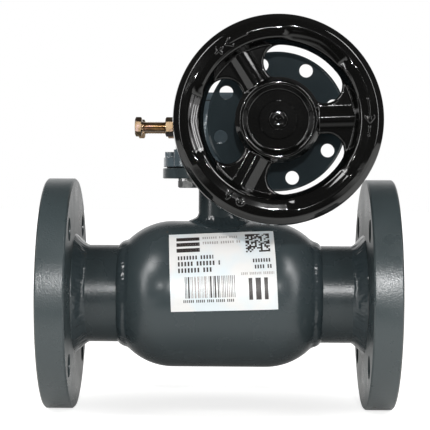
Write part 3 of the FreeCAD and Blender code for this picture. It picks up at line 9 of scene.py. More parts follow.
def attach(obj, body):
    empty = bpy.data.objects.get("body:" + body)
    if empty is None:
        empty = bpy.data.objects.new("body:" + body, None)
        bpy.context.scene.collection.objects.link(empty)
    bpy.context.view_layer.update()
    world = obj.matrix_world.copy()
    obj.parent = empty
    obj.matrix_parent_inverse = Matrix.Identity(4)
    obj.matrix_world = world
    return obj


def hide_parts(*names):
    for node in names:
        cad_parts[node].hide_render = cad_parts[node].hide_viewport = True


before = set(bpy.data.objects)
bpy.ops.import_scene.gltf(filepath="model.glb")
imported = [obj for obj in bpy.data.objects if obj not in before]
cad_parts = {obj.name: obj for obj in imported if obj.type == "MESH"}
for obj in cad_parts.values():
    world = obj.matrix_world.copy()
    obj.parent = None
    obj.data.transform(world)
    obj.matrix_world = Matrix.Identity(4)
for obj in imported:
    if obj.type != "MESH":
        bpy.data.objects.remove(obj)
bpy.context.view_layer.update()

mm = 0.001
shell = {"radius": 57.15, "straightHalf": 36.0, "shoulder": 50.0}  # outside of the valve body, mm
print("frame loaded:", len(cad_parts), "parts")


def linearColour(hexColour):
    parts = [int(hexColour[i:i + 2], 16) / 255 for i in (1, 3, 5)]
    return [p / 12.92 if p < 0.04046 else ((p + 0.055) / 1.055) ** 2.4 for p in parts] + [1]


def wire(node, links):
    # a node named without an output stands for its first one
    for socket, source in links.items():
        output = source.outputs[0] if isinstance(source, bpy.types.Node) else source
        node.id_data.links.new(output, node.inputs[socket])


def addNode(owner, kind, inputs={}, links={}, **settings):
    node = owner.node_tree.nodes.new("ShaderNode" + kind)
    for name, value in settings.items():
        setattr(node, name, value)
    for socket, value in inputs.items():
        node.inputs[socket].default_value = value
    wire(node, links)
    return node


def seenDirectly(owner):
    # the light path, and 1 for what the camera sees straight or through glass
    path = addNode(owner, "LightPath")
    rays = {0: path.outputs["Is Camera Ray"], 1: path.outputs["Is Transmission Ray"]}
    return path, addNode(owner, "Math", links=rays, operation="MAXIMUM")


def rangeInputs(values):
    # the four numbers of a map range node: from, to, and what comes out at either end
    return dict(enumerate(values, 1))


def newMaterial(name, **values):
    material = bpy.data.materials.new(name)
    material.use_nodes = True
    shader = material.node_tree.nodes["Principled BSDF"]
    for socket, value in values.items():
        shader.inputs[socket.replace("_", " ")].default_value = value
    return material, shader


# camera where the photographer stood, read off the outlines of the flanges and the body; mm and radians
cameraSpot = {"x": 7.84, "y": -1171.8, "z": 85.1, "yaw": 0.0101, "pitch": -0.0198, "roll": 0.0057,
              "lens": 124.85, "sensor": 36, "clip": (0.05, 60)}     # clip: nearest and farthest in metres


def placeCamera(spot):
    camera = bpy.data.objects.new("valveCamera", bpy.data.cameras.new("valveCamera"))
    bpy.context.scene.collection.objects.link(camera)
    cosYaw, sinYaw = math.cos(spot["yaw"]), math.sin(spot["yaw"])
    cosPitch, sinPitch = math.cos(spot["pitch"]), math.sin(spot["pitch"])
    forward = Vector((-sinYaw * cosPitch, cosYaw * cosPitch, sinPitch))
    right = Vector((cosYaw, sinYaw, 0))
    up = right.cross(forward)
    cosRoll, sinRoll = math.cos(spot["roll"]), math.sin(spot["roll"])
    side = cosRoll * right + sinRoll * up
    top = cosRoll * up - sinRoll * right
    turn = Matrix((side, top, -forward)).transposed().to_4x4()
    camera.matrix_world = Matrix.Translation(Vector((spot["x"], spot["y"], spot["z"])) * mm) @ turn
    camera.data.lens = spot["lens"]
    camera.data.sensor_width = spot["sensor"]
    camera.data.clip_start, camera.data.clip_end = spot["clip"]
    bpy.context.scene.camera = camera


placeCamera(cameraSpot)
bpy.context.scene.view_settings.view_transform = "Standard"
print("camera placed")


# White studio, in metres: a table top covered with paper, a roll of paper behind it, and a dim room.
# Ranges are from, to, and the values at either end
studio = {
    "tableZ": -90.0 * mm,        # the flanges stand on it
    "tableCorners": [(-0.8, -0.9), (0.8, -0.9), (5.0, 9.0), (-5.0, 9.0)],
    "tableTone": "#f0f0ee",
    "tableDarkTone": "#343433",  # a dark cloth lies on it before the camera
    "clothSide": (0.20, 0.38),   # where the cloth gives way to the paper, to either side
    "clothBack": (-0.36, -0.22),             # and towards the valve
    "paperPaintedShade": (0.1, 0.5, 1.0, 0.5),       # painted shade: the paper's tone darkens far behind the valve, where the lamps reach less
    "paintedShadowHalf": (0.15, 0.10),   # painted shadow: the paper darkens in a patch under the valve, where little light gets; half of that patch's length and depth
    "paintedShadowFade": (0.4, 1.2, 0.3, 1.0),       # and how the painted shadow ends, in shares of them
    "tableSeen": (0.2, 0.45, 0.75, 1.0),     # paper glow for the camera, on top of the lamps' light
    "tableMirrored": 0.18,       # the same in reflections
    "paperEdge": (0.72, 0.92),   # edge of the roll behind the valve, as a cosine from straight behind
    "roomBack": 1.0,
    "roomDim": 0.07,             # what shiny surfaces mirror of the room
    "roomFill": 0.24,            # what it sends into the shadows
    "lampAim": 0.05,             # height the lamps point at
}


def makeTable(look):
    mesh = bpy.data.meshes.new("tableTop")
    mesh.from_pydata([(x, y, look["tableZ"]) for x, y in look["tableCorners"]], [], [(0, 1, 2, 3)])
    table = bpy.data.objects.new("tableTop", mesh)
    bpy.context.scene.collection.objects.link(table)
    paper, shader = newMaterial("whitePaperTable", Roughness=0.9, Specular_IOR_Level=0.1)
    spot = addNode(paper, "NewGeometry").outputs["Position"]
    axes = addNode(paper, "SeparateXYZ", links={0: spot})
    side = addNode(paper, "Math", links={0: axes.outputs["X"]}, operation="ABSOLUTE")
    beside = addNode(paper, "MapRange", rangeInputs(look["clothSide"]), {0: side},
                     interpolation_type="SMOOTHSTEP")
    behind = addNode(paper, "MapRange", rangeInputs(look["clothBack"]), {0: axes.outputs["Y"]},
                     interpolation_type="SMOOTHSTEP")
    # painted shade: the paper's tone falls off far behind the valve, and lit carries it on
    paintedFarShade = addNode(paper, "MapRange", rangeInputs(look["paperPaintedShade"]), {0: axes.outputs["Y"]})
    lit = addNode(paper, "Math", links={0: behind, 1: paintedFarShade}, operation="MULTIPLY")
    pale = addNode(paper, "Math", links={0: beside, 1: lit}, operation="MAXIMUM")
    # painted shadow: the paper's tone darkens in a patch under the valve, through clear
    halfLength, halfDepth = look["paintedShadowHalf"]
    spread = addNode(paper, "VectorMath", {1: (1 / halfLength, 1 / halfDepth, 0)}, {0: spot},
                     operation="MULTIPLY")
    reach = addNode(paper, "VectorMath", links={0: spread}, operation="LENGTH")
    clear = addNode(paper, "MapRange", rangeInputs(look["paintedShadowFade"]), {0: reach.outputs["Value"]},
                    interpolation_type="SMOOTHSTEP")
    # near holds the dark cloth, the painted shade far behind the valve and the painted shadow under it
    near = addNode(paper, "Math", links={0: pale, 1: clear}, operation="MULTIPLY")
    tones = {6: linearColour(look["tableDarkTone"]), 7: linearColour(look["tableTone"])}
    tone = addNode(paper, "Mix", tones, {0: near}, data_type="RGBA")
    path, seen = seenDirectly(paper)
    distance = addNode(paper, "VectorMath", links={0: spot}, operation="LENGTH")
    white = addNode(paper, "MapRange", rangeInputs(look["tableSeen"]), {0: distance.outputs["Value"]})
    seenGlow = addNode(paper, "Math", links={0: seen, 1: white}, operation="MULTIPLY")
    mirrored = addNode(paper, "Math", links={0: path.outputs["Is Glossy Ray"], 1: near},
                       operation="MULTIPLY")
    mirrorGlow = addNode(paper, "Math", {1: look["tableMirrored"]}, {0: mirrored}, operation="MULTIPLY")
    glow = addNode(paper, "Math", links={0: seenGlow, 1: mirrorGlow}, operation="MAXIMUM")
    shader.inputs["Emission Color"].default_value = (1, 1, 1, 1)
    wire(shader, {"Base Color": tone.outputs[2], "Emission Strength": glow})
    mesh.materials.append(paper)


def makeRoom(look):
    world = bpy.data.worlds.new("studioRoom")
    bpy.context.scene.world = world
    world.use_nodes = True
    background = world.node_tree.nodes["Background"]
    background.inputs["Color"].default_value = (1, 1, 1, 1)
    path, seen = seenDirectly(world)
    direction = addNode(world, "TexCoord")
    axes = addNode(world, "SeparateXYZ", links={0: direction.outputs["Generated"]})
    dim = addNode(world, "MapRange", {3: look["roomDim"], 4: look["roomFill"]},
                  {0: path.outputs["Is Diffuse Ray"]})
    paper = addNode(world, "MapRange", {**rangeInputs(look["paperEdge"]), 4: look["roomBack"]},
                    {0: axes.outputs["Y"], 3: dim}, interpolation_type="SMOOTHSTEP")
    strength = addNode(world, "Math", links={0: paper, 1: seen}, operation="MAXIMUM")
    wire(background, {"Strength": strength})


# Lamps: degrees off the camera's side, to the right, and up; distance, width and height in metres; radiance
sideLamps = {
    "Softbox": (56.0, 23.0, 1.4, 0.36, 1.6, 2.1),           # tall and narrow
    "Upper": (48.16, 42.0, 1.3, 0.22, 0.5, 8.4),            # small, higher up
    "Core": (56.0, 23.0, 1.38, 0.10, 1.2, 10.0),            # the flash tube glows through the tall softbox
    "Spark": (22.96, 15.0, 5.0, 0.10, 0.10, 477.464829),    # small, bare and far off
}
frontLamp = (2.4, 14.0, 5.0, 0.10, 0.10, 3501.408748)       # the same over the camera, stronger


def softLamp(name, azimuth, elevation, distance, width, height, radiance):
    lamp = bpy.data.lights.new(name, "AREA")
    lamp.shape = "RECTANGLE"
    lamp.size, lamp.size_y = width, height
    lamp.energy = radiance * width * height * math.pi
    a, e = math.radians(azimuth), math.radians(elevation)
    away = Vector((math.sin(a) * math.cos(e), -math.cos(a) * math.cos(e), math.sin(e)))
    thing = bpy.data.objects.new(name, lamp)
    bpy.context.scene.collection.objects.link(thing)
    thing.location = away * distance + Vector((0, 0, studio["lampAim"]))
    thing.rotation_euler = away.to_track_quat("Z", "Y").to_euler()


makeTable(studio)
makeRoom(studio)
for sideName, sign in (("left", -1), ("right", 1)):
    for lampName, (azimuth, *others) in sideLamps.items():
        softLamp(sideName + lampName, sign * azimuth, *others)
softLamp("frontLamp", *frontLamp)
print("studio lit")


# Lengths in mm. "peel" is the width of the paint's orange peel, "edge" how far paint rounds a corner
# Powder coat on the turned flanges: fine hard peel that breaks a highlight into sparks
flangeCoat = {"tone": "#384143", "darkTone": "#333c3e", "roughness": 0.29, "peel": 1.2, "peelDepth": 0.14,
              "edge": 0.5, "gloss": 0.75}
# On the pipe stubs the same coat is darker and duller than on the flanges
pipeCoat = {"tone": "#323b3d", "darkTone": "#2d3538", "roughness": 0.27, "peel": 1.2, "peelDepth": 0.12,
            "edge": 0.5, "gloss": 0.5}
# The same coat flowed out on the smooth pressed shell: softer, calmer skin
shellCoat = {"tone": "#373f42", "darkTone": "#333c3e", "roughness": 0.25, "peel": 1.5, "peelDepth": 0.04,
             "edge": 0.5, "gloss": 0.5}
# Coat over weld metal: thicker and glossier in the ripples
weldCoat = {"tone": "#353e41", "darkTone": "#2a3235", "roughness": 0.16, "peel": 1.7, "peelDepth": 0.05,
            "edge": 0.3, "gloss": 0.55}
# Wet paint over cast iron: the rough casting shows through a thick shiny skin
castCoat = {"tone": "#56636a", "darkTone": "#455157", "roughness": 0.18, "peel": 2.4, "peelDepth": 0.20,
            "edge": 1.3, "gloss": 1.0}
# Paint on smooth sheet steel: calm, dark, with slow waves
discCoat = {"tone": "#242d31", "darkTone": "#1e2629", "roughness": 0.07, "peel": 2.4, "peelDepth": 0.008,
            "edge": 0.6, "gloss": 0.5}
# Black stove enamel on pressed sheet: a wet mirror skin, slightly wavy
wheelCoat = {"tone": "#090908", "darkTone": "#050505", "roughness": 0.07, "peel": 4.0, "peelDepth": 0.014,
             "edge": 0.2, "gloss": 0.6}
# What all paint shares: broad clouds of tone, and how much smoother and duller it is from cloud to cloud
paintClouds = {"size": 24.0, "range": (0.3, 0.7), "shares": (0.85, 1.2)}


def paintSkin(name, coat):
    material, shader = newMaterial(name, Specular_IOR_Level=coat["gloss"])
    spot = addNode(material, "TexCoord")
    clouds = addNode(material, "TexNoise", {"Scale": 1 / (paintClouds["size"] * mm), "Detail": 4.0},
                     {"Vector": spot.outputs["Object"]})
    tone = addNode(material, "Mix", {6: linearColour(coat["darkTone"]), 7: linearColour(coat["tone"])},
                   {0: clouds}, data_type="RGBA", label="paintTone")
    ends = [coat["roughness"] * share for share in paintClouds["shares"]]
    matter = addNode(material, "MapRange", rangeInputs([*paintClouds["range"], *ends]), {0: clouds},
                     label="paintRoughness")
    corner = addNode(material, "Bevel", {"Radius": coat["edge"] * mm}, samples=4)
    peel = addNode(material, "TexNoise",
                   {"Scale": 1 / (coat["peel"] * mm), "Detail": 2.0, "Roughness": 0.55},
                   {"Vector": spot.outputs["Object"]})
    bump = addNode(material, "Bump", {"Distance": coat["peelDepth"] * mm},
                   {"Height": peel, "Normal": corner}, label="paintBump")
    wire(shader, {"Base Color": tone.outputs[2], "Roughness": matter, "Normal": bump})
    return material


# Where a flange or pipe isn't painted: the turned sealing face with its record-like grooves, and the bore
bareSteel = {"tone": "#8f8b85", "roughness": 0.36, "faceFrom": 134.6, "boreTo": 36.7,
             "groovePitch": 1.6, "grooveDepth": 0.10}   # real ones are 0.8 apart, drawn twice as wide to show


def bareZones(material, bare):
    tree = material.node_tree
    shader = tree.nodes["Principled BSDF"]
    named = {node.label: node for node in tree.nodes if node.label}
    spot = addNode(material, "TexCoord")
    axes = addNode(material, "SeparateXYZ", links={0: spot.outputs["Object"]})
    along = addNode(material, "Math", links={0: axes.outputs["X"]}, operation="ABSOLUTE")
    face = addNode(material, "Math", {1: bare["faceFrom"] * mm}, {0: along}, operation="GREATER_THAN")
    flat = addNode(material, "CombineXYZ", links={1: axes.outputs["Y"], 2: axes.outputs["Z"]})
    reach = addNode(material, "VectorMath", links={0: flat}, operation="LENGTH")
    bore = addNode(material, "Math", {1: bare["boreTo"] * mm}, {0: reach.outputs["Value"]},
                   operation="LESS_THAN")
    zone = addNode(material, "Math", links={0: face, 1: bore}, operation="MAXIMUM")
    tone = addNode(material, "Mix", {7: linearColour(bare["tone"])},
                   {0: zone, 6: named["paintTone"].outputs[2]}, data_type="RGBA")
    matter = addNode(material, "Mix", {3: bare["roughness"]}, {0: zone, 2: named["paintRoughness"]})
    turns = addNode(material, "Math", {1: 2 * math.pi / (bare["groovePitch"] * mm)},
                    {0: reach.outputs["Value"]}, operation="MULTIPLY")
    wave = addNode(material, "Math", links={0: turns}, operation="SINE")
    groove = addNode(material, "Math", links={0: wave, 1: face}, operation="MULTIPLY")
    cut = addNode(material, "Bump", {"Distance": bare["grooveDepth"] * mm},
                  {"Height": groove, "Normal": named["paintBump"]})
    wire(shader, {"Base Color": tone.outputs[2], "Metallic": zone, "Roughness": matter, "Normal": cut})


flangePaint = paintSkin("powderCoatedFlange", flangeCoat)
bareZones(flangePaint, bareSteel)
pipePaint = paintSkin("powderCoatedPipe", pipeCoat)
bareZones(pipePaint, bareSteel)
shellPaint = paintSkin("powderCoatedShell", shellCoat)
weldPaint = paintSkin("powderCoatedWeld", weldCoat)
operatorPaint = paintSkin("paintedCastIron", castCoat)
discPaint = paintSkin("paintedSheetSteel", discCoat)
wheelEnamel = paintSkin("blackStoveEnamel", wheelCoat)

# Metals: size of the clouds and of the grain in mm. A tint is its tone, its cloud size and where it starts
# Zinc plating, yellow passivated: brown gold with pink and green clouds where the film is thinner
yellowZinc = {"tone": "#bda27e", "cloudTone": "#937b62", "roughness": 0.22, "cloud": 7.0, "grain": 0.5,
              "grainDepth": 0.006, "tints": [("#d8b8b6", 6.0, 0.55), ("#a3a488", 7.0, 0.60)]}
# Zinc plating, clear passivated: cool white metal, softly cloudy
brightZinc = {"tone": "#e2e2e0", "cloudTone": "#b4b6b7", "roughness": 0.40, "cloud": 2.6, "grain": 0.4,
              "grainDepth": 0.014}
# Steel straight from the lathe: fine feed marks that stretch highlights across the cut
turnedSteel = {"tone": "#a19d97", "cloudTone": "#84807a", "roughness": 0.28, "cloud": 8.0, "grain": 0.5,
               "grainDepth": 0.012}
# Hardened strip, oiled and blackened by heat
springSteel = {"tone": "#66645f", "cloudTone": "#474643", "roughness": 0.38, "cloud": 5.0, "grain": 0.5,
               "grainDepth": 0.008}
# Chromed and lapped ball: almost a mirror
lappedChrome = {"tone": "#d3d5d6", "cloudTone": "#c6c9cb", "roughness": 0.07, "cloud": 12.0, "grain": 0.6,
                "grainDepth": 0.001}
# Nodular cast iron with machined teeth: grey and slightly mottled by graphite
machinedIron = {"tone": "#77756f", "cloudTone": "#57554f", "roughness": 0.42, "cloud": 1.5, "grain": 0.4,
                "grainDepth": 0.02}
# Sintered bronze, oil soaked: warm brown metal full of tiny pores
sinteredBronze = {"tone": "#a87f4c", "cloudTone": "#7d5a33", "roughness": 0.4, "cloud": 1.2, "grain": 0.3,
                  "grainDepth": 0.03}


def metalSkin(name, metal):
    material, shader = newMaterial(name, Metallic=1.0, Roughness=metal["roughness"])
    spot = addNode(material, "TexCoord")
    clouds = addNode(material, "TexNoise", {"Scale": 1 / (metal["cloud"] * mm), "Detail": 3.0},
                     {"Vector": spot.outputs["Object"]})
    sharper = addNode(material, "MapRange", rangeInputs((0.35, 0.65)), {0: clouds})
    tone = addNode(material, "Mix", {6: linearColour(metal["cloudTone"]), 7: linearColour(metal["tone"])},
                   {0: sharper}, data_type="RGBA")
    for tintTone, size, start in metal.get("tints", []):
        patch = addNode(material, "TexNoise", {"Scale": 1 / (size * mm), "Detail": 2.0, "W": start * 10},
                        {"Vector": spot.outputs["Object"]}, noise_dimensions="4D")
        share = addNode(material, "MapRange", rangeInputs((start, start + 0.12, 0.0, 0.8)), {0: patch})
        tone = addNode(material, "Mix", {7: linearColour(tintTone)}, {0: share, 6: tone.outputs[2]},
                       data_type="RGBA")
    grain = addNode(material, "TexNoise", {"Scale": 1 / (metal["grain"] * mm), "Detail": 2.0},
                    {"Vector": spot.outputs["Object"]})
    bump = addNode(material, "Bump", {"Distance": metal["grainDepth"] * mm}, {"Height": grain})
    wire(shader, {"Base Color": tone.outputs[2], "Normal": bump})
    return material


# Filled PTFE, turned from rod: waxy off-white
filledPtfe = {"tone": "#dcdad2", "darkTone": "#c9c6bb", "roughness": 0.45, "peel": 0.6, "peelDepth": 0.010,
              "edge": 0.2, "gloss": 0.4}
# Moulded nitrile rubber: matt black with a faint bloom
nitrileRubber = {"tone": "#1d1d1c", "darkTone": "#151515", "roughness": 0.62, "peel": 0.8, "peelDepth": 0.012,
                 "edge": 0.2, "gloss": 0.3}
# Pressed fibre sheet, graphited: nearly black felted surface
fibreSheet = {"tone": "#262726", "darkTone": "#1c1d1c", "roughness": 0.8, "peel": 0.5, "peelDepth": 0.03,
              "edge": 0.1, "gloss": 0.25}
# Moulded polyamide dial, signal yellow: fine spark-eroded grain
mouldedDial = {"tone": "#d8b21a", "darkTone": "#c79f12", "roughness": 0.5, "peel": 0.5, "peelDepth": 0.015,
               "edge": 0.3, "gloss": 0.4}

yellowZincPlate = metalSkin("yellowZincPlate", yellowZinc)
finishOfSlot = {
    "body_paint": shellPaint,
    "disc_paint": discPaint,
    "operator_paint": operatorPaint,
    "wheel_enamel": wheelEnamel,
    "yellow_zinc": yellowZincPlate,
    "bright_zinc": metalSkin("brightZincPlate", brightZinc),
    "turned_steel": metalSkin("latheTurnedSteel", turnedSteel),
    "spring_steel": metalSkin("blackenedSpringSteel", springSteel),
    "polished_ball": metalSkin("lappedChrome", lappedChrome),
    "seat_plastic": paintSkin("filledPtfe", filledPtfe),
    "seal_rubber": paintSkin("nitrileRubber", nitrileRubber),
    "gasket_sheet": paintSkin("graphitedFibreSheet", fibreSheet),
    "quadrant_iron": metalSkin("machinedNodularIron", machinedIron),
    "bush_bronze": metalSkin("sinteredBronze", sinteredBronze),
    "dial_plastic": paintSkin("mouldedPolyamide", mouldedDial),
}
finishOfPart = {}
for side in ("left", "right"):
    for partEnd, finish in (("_flange", flangePaint), ("_face_weld", flangePaint), ("_pipe", pipePaint)):
        finishOfPart[side + partEnd] = finish
for nodeName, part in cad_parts.items():
    for place in part.material_slots:
        place.material = finishOfPart.get(nodeName) or finishOfSlot[place.material.name.split(".")[0]]
print("finishes on all parts")


def newPiece(name, points, faces, material, body, normals=None, sharpOver=None):
    # points in mm, sharpOver in degrees
    mesh = bpy.data.meshes.new(name)
    corners = [tuple(int(i) for i in f) for f in faces]
    mesh.from_pydata([tuple(p) for p in np.asarray(points) * mm], [], corners)
    mesh.materials.append(material)
    mesh.shade_smooth()
    if sharpOver is not None:
        mesh.set_sharp_from_angle(angle=math.radians(sharpOver))
    if normals is not None:
        mesh.normals_split_custom_set_from_vertices([tuple(n) for n in normals])
    piece = bpy.data.objects.new(name, mesh)
    bpy.context.scene.collection.objects.link(piece)
    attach(piece, body)
    return piece


def sheetFaces(rows, columns, wrap, first=0, flip=False):
    # quads over a grid of points, rows run round a closed ring if wrap is set
    faces = []
    for row in range(rows if wrap else rows - 1):
        here, after = row * columns, (row + 1) % rows * columns
        for column in range(columns - 1):
            quad = (here + column, here + column + 1, after + column + 1, after + column)
            faces.append(tuple(first + i for i in (quad[::-1] if flip else quad)))
    return faces


def usedPoints(faces, count):
    # numbers of the points that faces use, and the faces numbered after them
    used = np.unique(faces)
    renumber = np.full(count, -1)
    renumber[used] = np.arange(len(used))
    return used, renumber[faces]


def smoothStep(value):
    value = np.clip(value, 0, 1)
    return value * value * (3 - 2 * value)


# Handwheel, pressed from one sheet: a domed rim with three grips, ribbed spokes and a raised ring round the
# hub. Lengths in mm, angles in degrees seen from the front; heights are forward of the spokes' face
wheel = {
    "centre": (42.0, -101.0, 132.5),
    "sheet": 2.4,
    # distance from the axis, height, corner radius
    "profile": [(14.0, -1.6, 0), (22.3, -1.6, 1.5), (25.3, 4.4, 1.6), (27.6, 4.4, 1.6), (30.2, 0, 1.5),
                (54.3, 0, 1.6), (57.7, 12.0, 4.4), (65.0, 13.2, 5.0), (71.0, 11.8, 3.4), (75.2, 6.6, 3.4),
                (75.95, -3.0, 0)],
    "skirt": 75.5,               # outside this distance the rim falls off steeply
    # slow waves the press left in the rim: longest and shortest in mm, slope of each, how many
    "waves": (44.0, 13.0, 0.007, 9),
    "wavesFrom": 52.0,           # they start here and are whole wavesGrow further out
    "wavesGrow": 5.0,
    "spokeAngles": (2, 122, 242),
    "spokeHalf": 11.0,
    "windowInner": 30.9,
    "windowOuter": 53.8,
    "rimCorner": 12.3,
    "hubCorner": 5.5,
    "windowRoll": 2.4,           # radius of the sheet's edge, rolled back round each window
    "rollEnd": 0.2,              # its last bit goes straight on
    "ribHalf": 9.5,
    "ribHeight": 2.9,
    "ribFrom": 25.0,             # a rib starts here, is whole ribRise further out, and ends under the rim
    "ribRise": 4.0,
    "ribTo": 62.0,
    "gripAngles": (62, 182, 302),
    "gripHalf": 27.0,
    "gripFrom": 65.6,
    "gripTop": 13.1,
    "gripSlope": 31.0,
    "gripSharp": 1.6,            # how sharply a grip breaks off from the rim, 1/mm
    "gripRipple": (0.04, 3.4),   # height and width of the drawing ripples round each grip
    "gripFade": 9.0,             # degrees over which a grip fades out at its ends
    "rimFrom": 54.0,
    "mesh": 1.0,                 # spacing of the points elsewhere
    "windowStep": 0.62,          # spacing of the mesh's points round a window
    "windowRows": [0.0, 0.3, 0.7, 1.2, 1.8, 2.5, 3.3],
    "rowsClear": 0.35,           # room between those rows and the rings of points over the rest
    "ringsNear": (25, 75),       # rings between these meet the windows
    "backSoft": 41,              # width of the filter that softens the back, in samples of the profile
    "backShare": 0.9,            # how much of the waves and ribs shows at the back
}
farFromWindow = 9.0              # any distance beyond the rolled edge does


def roundedProfile(corners, step=0.12):
    # evenly spaced (run, radius, height) along the line through the corners, each corner rounded
    line = [np.array(corners[0][:2])]
    for before, here, after in zip(corners, corners[1:], corners[2:]):
        p, a, b = np.array(here[:2]), np.array(before[:2]), np.array(after[:2])
        u, v = (a - p) / np.linalg.norm(a - p), (b - p) / np.linalg.norm(b - p)
        half = math.acos(np.clip(u @ v, -1, 1)) / 2
        reach = min(here[2] / math.tan(half), 0.49 * np.linalg.norm(a - p), 0.49 * np.linalg.norm(b - p))
        radius = reach * math.tan(half)
        middle = p + (u + v) / np.linalg.norm(u + v) * radius / math.sin(half)
        start, end = p + u * reach - middle, p + v * reach - middle
        turn = math.atan2(start[0] * end[1] - start[1] * end[0], start @ end)
        for k in range(13):
            c, s = math.cos(turn * k / 12), math.sin(turn * k / 12)
            line.append(middle + np.array([c * start[0] - s * start[1], s * start[0] + c * start[1]]))
    line.append(np.array(corners[-1][:2]))
    line = np.array(line)
    run = np.concatenate([[0], np.cumsum(np.linalg.norm(np.diff(line, axis=0), axis=1))])
    even = np.linspace(0, run[-1], int(run[-1] / step) + 1)
    return even, np.interp(even, run, line[:, 0]), np.interp(even, run, line[:, 1])


wheelRun, wheelR, wheelH = roundedProfile(wheel["profile"])
wheelReach = wheelRun + wheelR[0]     # distance from the axis in the flat blank, before pressing


def blankReach(look, r):
    # distance from the axis in the flat blank, for a distance in the pressed wheel
    inside = wheelR < look["skirt"]
    return np.interp(r, wheelR[inside], wheelReach[inside])


def windowOutline(look, spokeAngle, step):
    # one window, from the spoke at spokeAngle to the next one, as flat points round its edge
    half, inner, outer = look["spokeHalf"], look["windowInner"], look["windowOuter"]
    rimR, hubR = look["rimCorner"], look["hubCorner"]
    rimUp, hubUp = half + rimR, half + hubR
    rimAlong = math.sqrt((outer - rimR) ** 2 - rimUp ** 2)
    hubAlong = math.sqrt((inner + hubR) ** 2 - hubUp ** 2)

    def arc(cx, cy, radius, a0, a1):
        count = max(3, int(abs(a1 - a0) * radius / step))
        angles = [a0 + (a1 - a0) * k / count for k in range(count)]
        return [(cx + radius * math.cos(a), cy + radius * math.sin(a)) for a in angles]

    rimAngle = math.atan2(rimUp, rimAlong)
    hubAngle = math.atan2(hubUp, hubAlong)
    third = math.radians(120)
    side = arc(hubAlong, hubUp, hubR, hubAngle + math.pi, 1.5 * math.pi)
    side += arc(rimAlong, rimUp, rimR, 1.5 * math.pi, 2 * math.pi + rimAngle)
    rimArc = arc(0, 0, outer, rimAngle, third - rimAngle)
    c, s = math.cos(third), math.sin(third)
    mirrored = [(c * x + s * y, s * x - c * y) for x, y in reversed(side)]
    hubArc = arc(0, 0, inner, third - hubAngle, hubAngle)
    points = np.array(side + rimArc + mirrored + hubArc)
    # into the flat blank, turned to its place on the wheel
    angle = np.arctan2(points[:, 1], points[:, 0]) + math.radians(spokeAngle)
    reach = blankReach(look, np.linalg.norm(points, axis=1))
    return np.stack([reach * np.cos(angle), reach * np.sin(angle)], 1)


def pressWaves(longest, shortest, slope, count):
    dice = random.Random(23)
    waves = []
    for k in range(count):
        size, turn = longest * (shortest / longest) ** (k / (count - 1)), dice.uniform(0, math.pi)
        bend = 2 * math.pi / size
        phase = dice.uniform(0, 2 * math.pi)
        waves.append((slope / bend, bend * math.cos(turn), bend * math.sin(turn), phase))
    return waves


wheelWaves = pressWaves(*wheel["waves"])


def wheelHeight(look, reach, angle, gap):
    # height of the front skin; gap is the distance from the nearest window's edge
    r, h = np.interp(reach, wheelReach, wheelR), np.interp(reach, wheelReach, wheelH)
    rippleHeight, rippleWidth = look["gripRipple"]
    sharp, lowest, highest = look["gripSharp"], -9, 30
    for a in look["gripAngles"]:
        off = np.abs((np.degrees(angle) - a + 180) % 360 - 180)
        blend = smoothStep((look["gripHalf"] - off) / look["gripFade"])
        ripple = rippleHeight * np.sin(2 * math.pi * r / rippleWidth + 2.2 * np.sin(np.radians(5 * off) + a))
        facet = look["gripTop"] - math.tan(math.radians(look["gripSlope"])) * (look["gripFrom"] - r) + ripple
        low = np.exp(-sharp * np.clip(h, lowest, highest)) + np.exp(-sharp * np.clip(facet, lowest, highest))
        cut = -np.log(low) / sharp
        h = np.where(r > look["rimFrom"], h * (1 - blend) + np.minimum(h, cut + 0.02) * blend, h)
    x, y = r * np.cos(angle), r * np.sin(angle)
    for a in look["spokeAngles"]:
        c, s = math.cos(math.radians(a)), math.sin(math.radians(a))
        along, across = c * x + s * y, np.abs(c * y - s * x)
        rib = look["ribHeight"] * np.cos(math.pi / 2 * np.clip(across / look["ribHalf"], 0, 1)) ** 2
        rib = rib * smoothStep((along - look["ribFrom"]) / look["ribRise"]) * (r < look["ribTo"])
        h = np.minimum(h, 0) + (np.clip(h, 0, highest) ** 3 + rib ** 3) ** (1 / 3)
    waves = sum(size * np.sin(kx * x + ky * y + phase) for size, kx, ky, phase in wheelWaves)
    h = h + smoothStep((r - look["wavesFrom"]) / look["wavesGrow"]) * waves
    roll, end = look["windowRoll"], look["rollEnd"]
    d = np.clip(gap, end, roll)
    fall = roll - np.sqrt(roll ** 2 - (roll - d) ** 2)
    edgeSlope = (roll - end) / math.sqrt(roll ** 2 - (roll - end) ** 2)
    return r, h - fall - np.clip(end - gap, 0, 1) * edgeSlope


def wheelFront(look, reach, angle, gap=farFromWindow):
    r, h = wheelHeight(look, reach, angle, gap)
    return np.stack([r * np.cos(angle), r * np.sin(angle), h], -1)


def wheelNormal(look, reach, angle, gap=farFromWindow, away=(0.0, 0.0)):
    # away points from the window's edge to the place, in the flat blank
    small = 0.1
    r = np.interp(reach, wheelReach, wheelR)
    ax, ay = np.asarray(away).T if np.ndim(away) == 2 else away
    gainR = (ax * np.cos(angle) + ay * np.sin(angle)) * small
    gainA = (ay * np.cos(angle) - ax * np.sin(angle)) * small * reach / r
    outer, inner = [wheelFront(look, reach + k * small, angle, gap + k * gainR) for k in (1, -1)]
    after, before = [wheelFront(look, reach, angle + k * small / r, gap + k * gainA) for k in (1, -1)]
    normal = np.cross(outer - inner, after - before)
    return normal / np.linalg.norm(normal, axis=-1)[..., None]


def onWheel(look, flat):
    # flat x stays x, flat y goes up, height goes forward
    cx, cy, cz = look["centre"]
    return np.stack([cx + flat[..., 0], cy - flat[..., 2], cz + flat[..., 1]], -1)


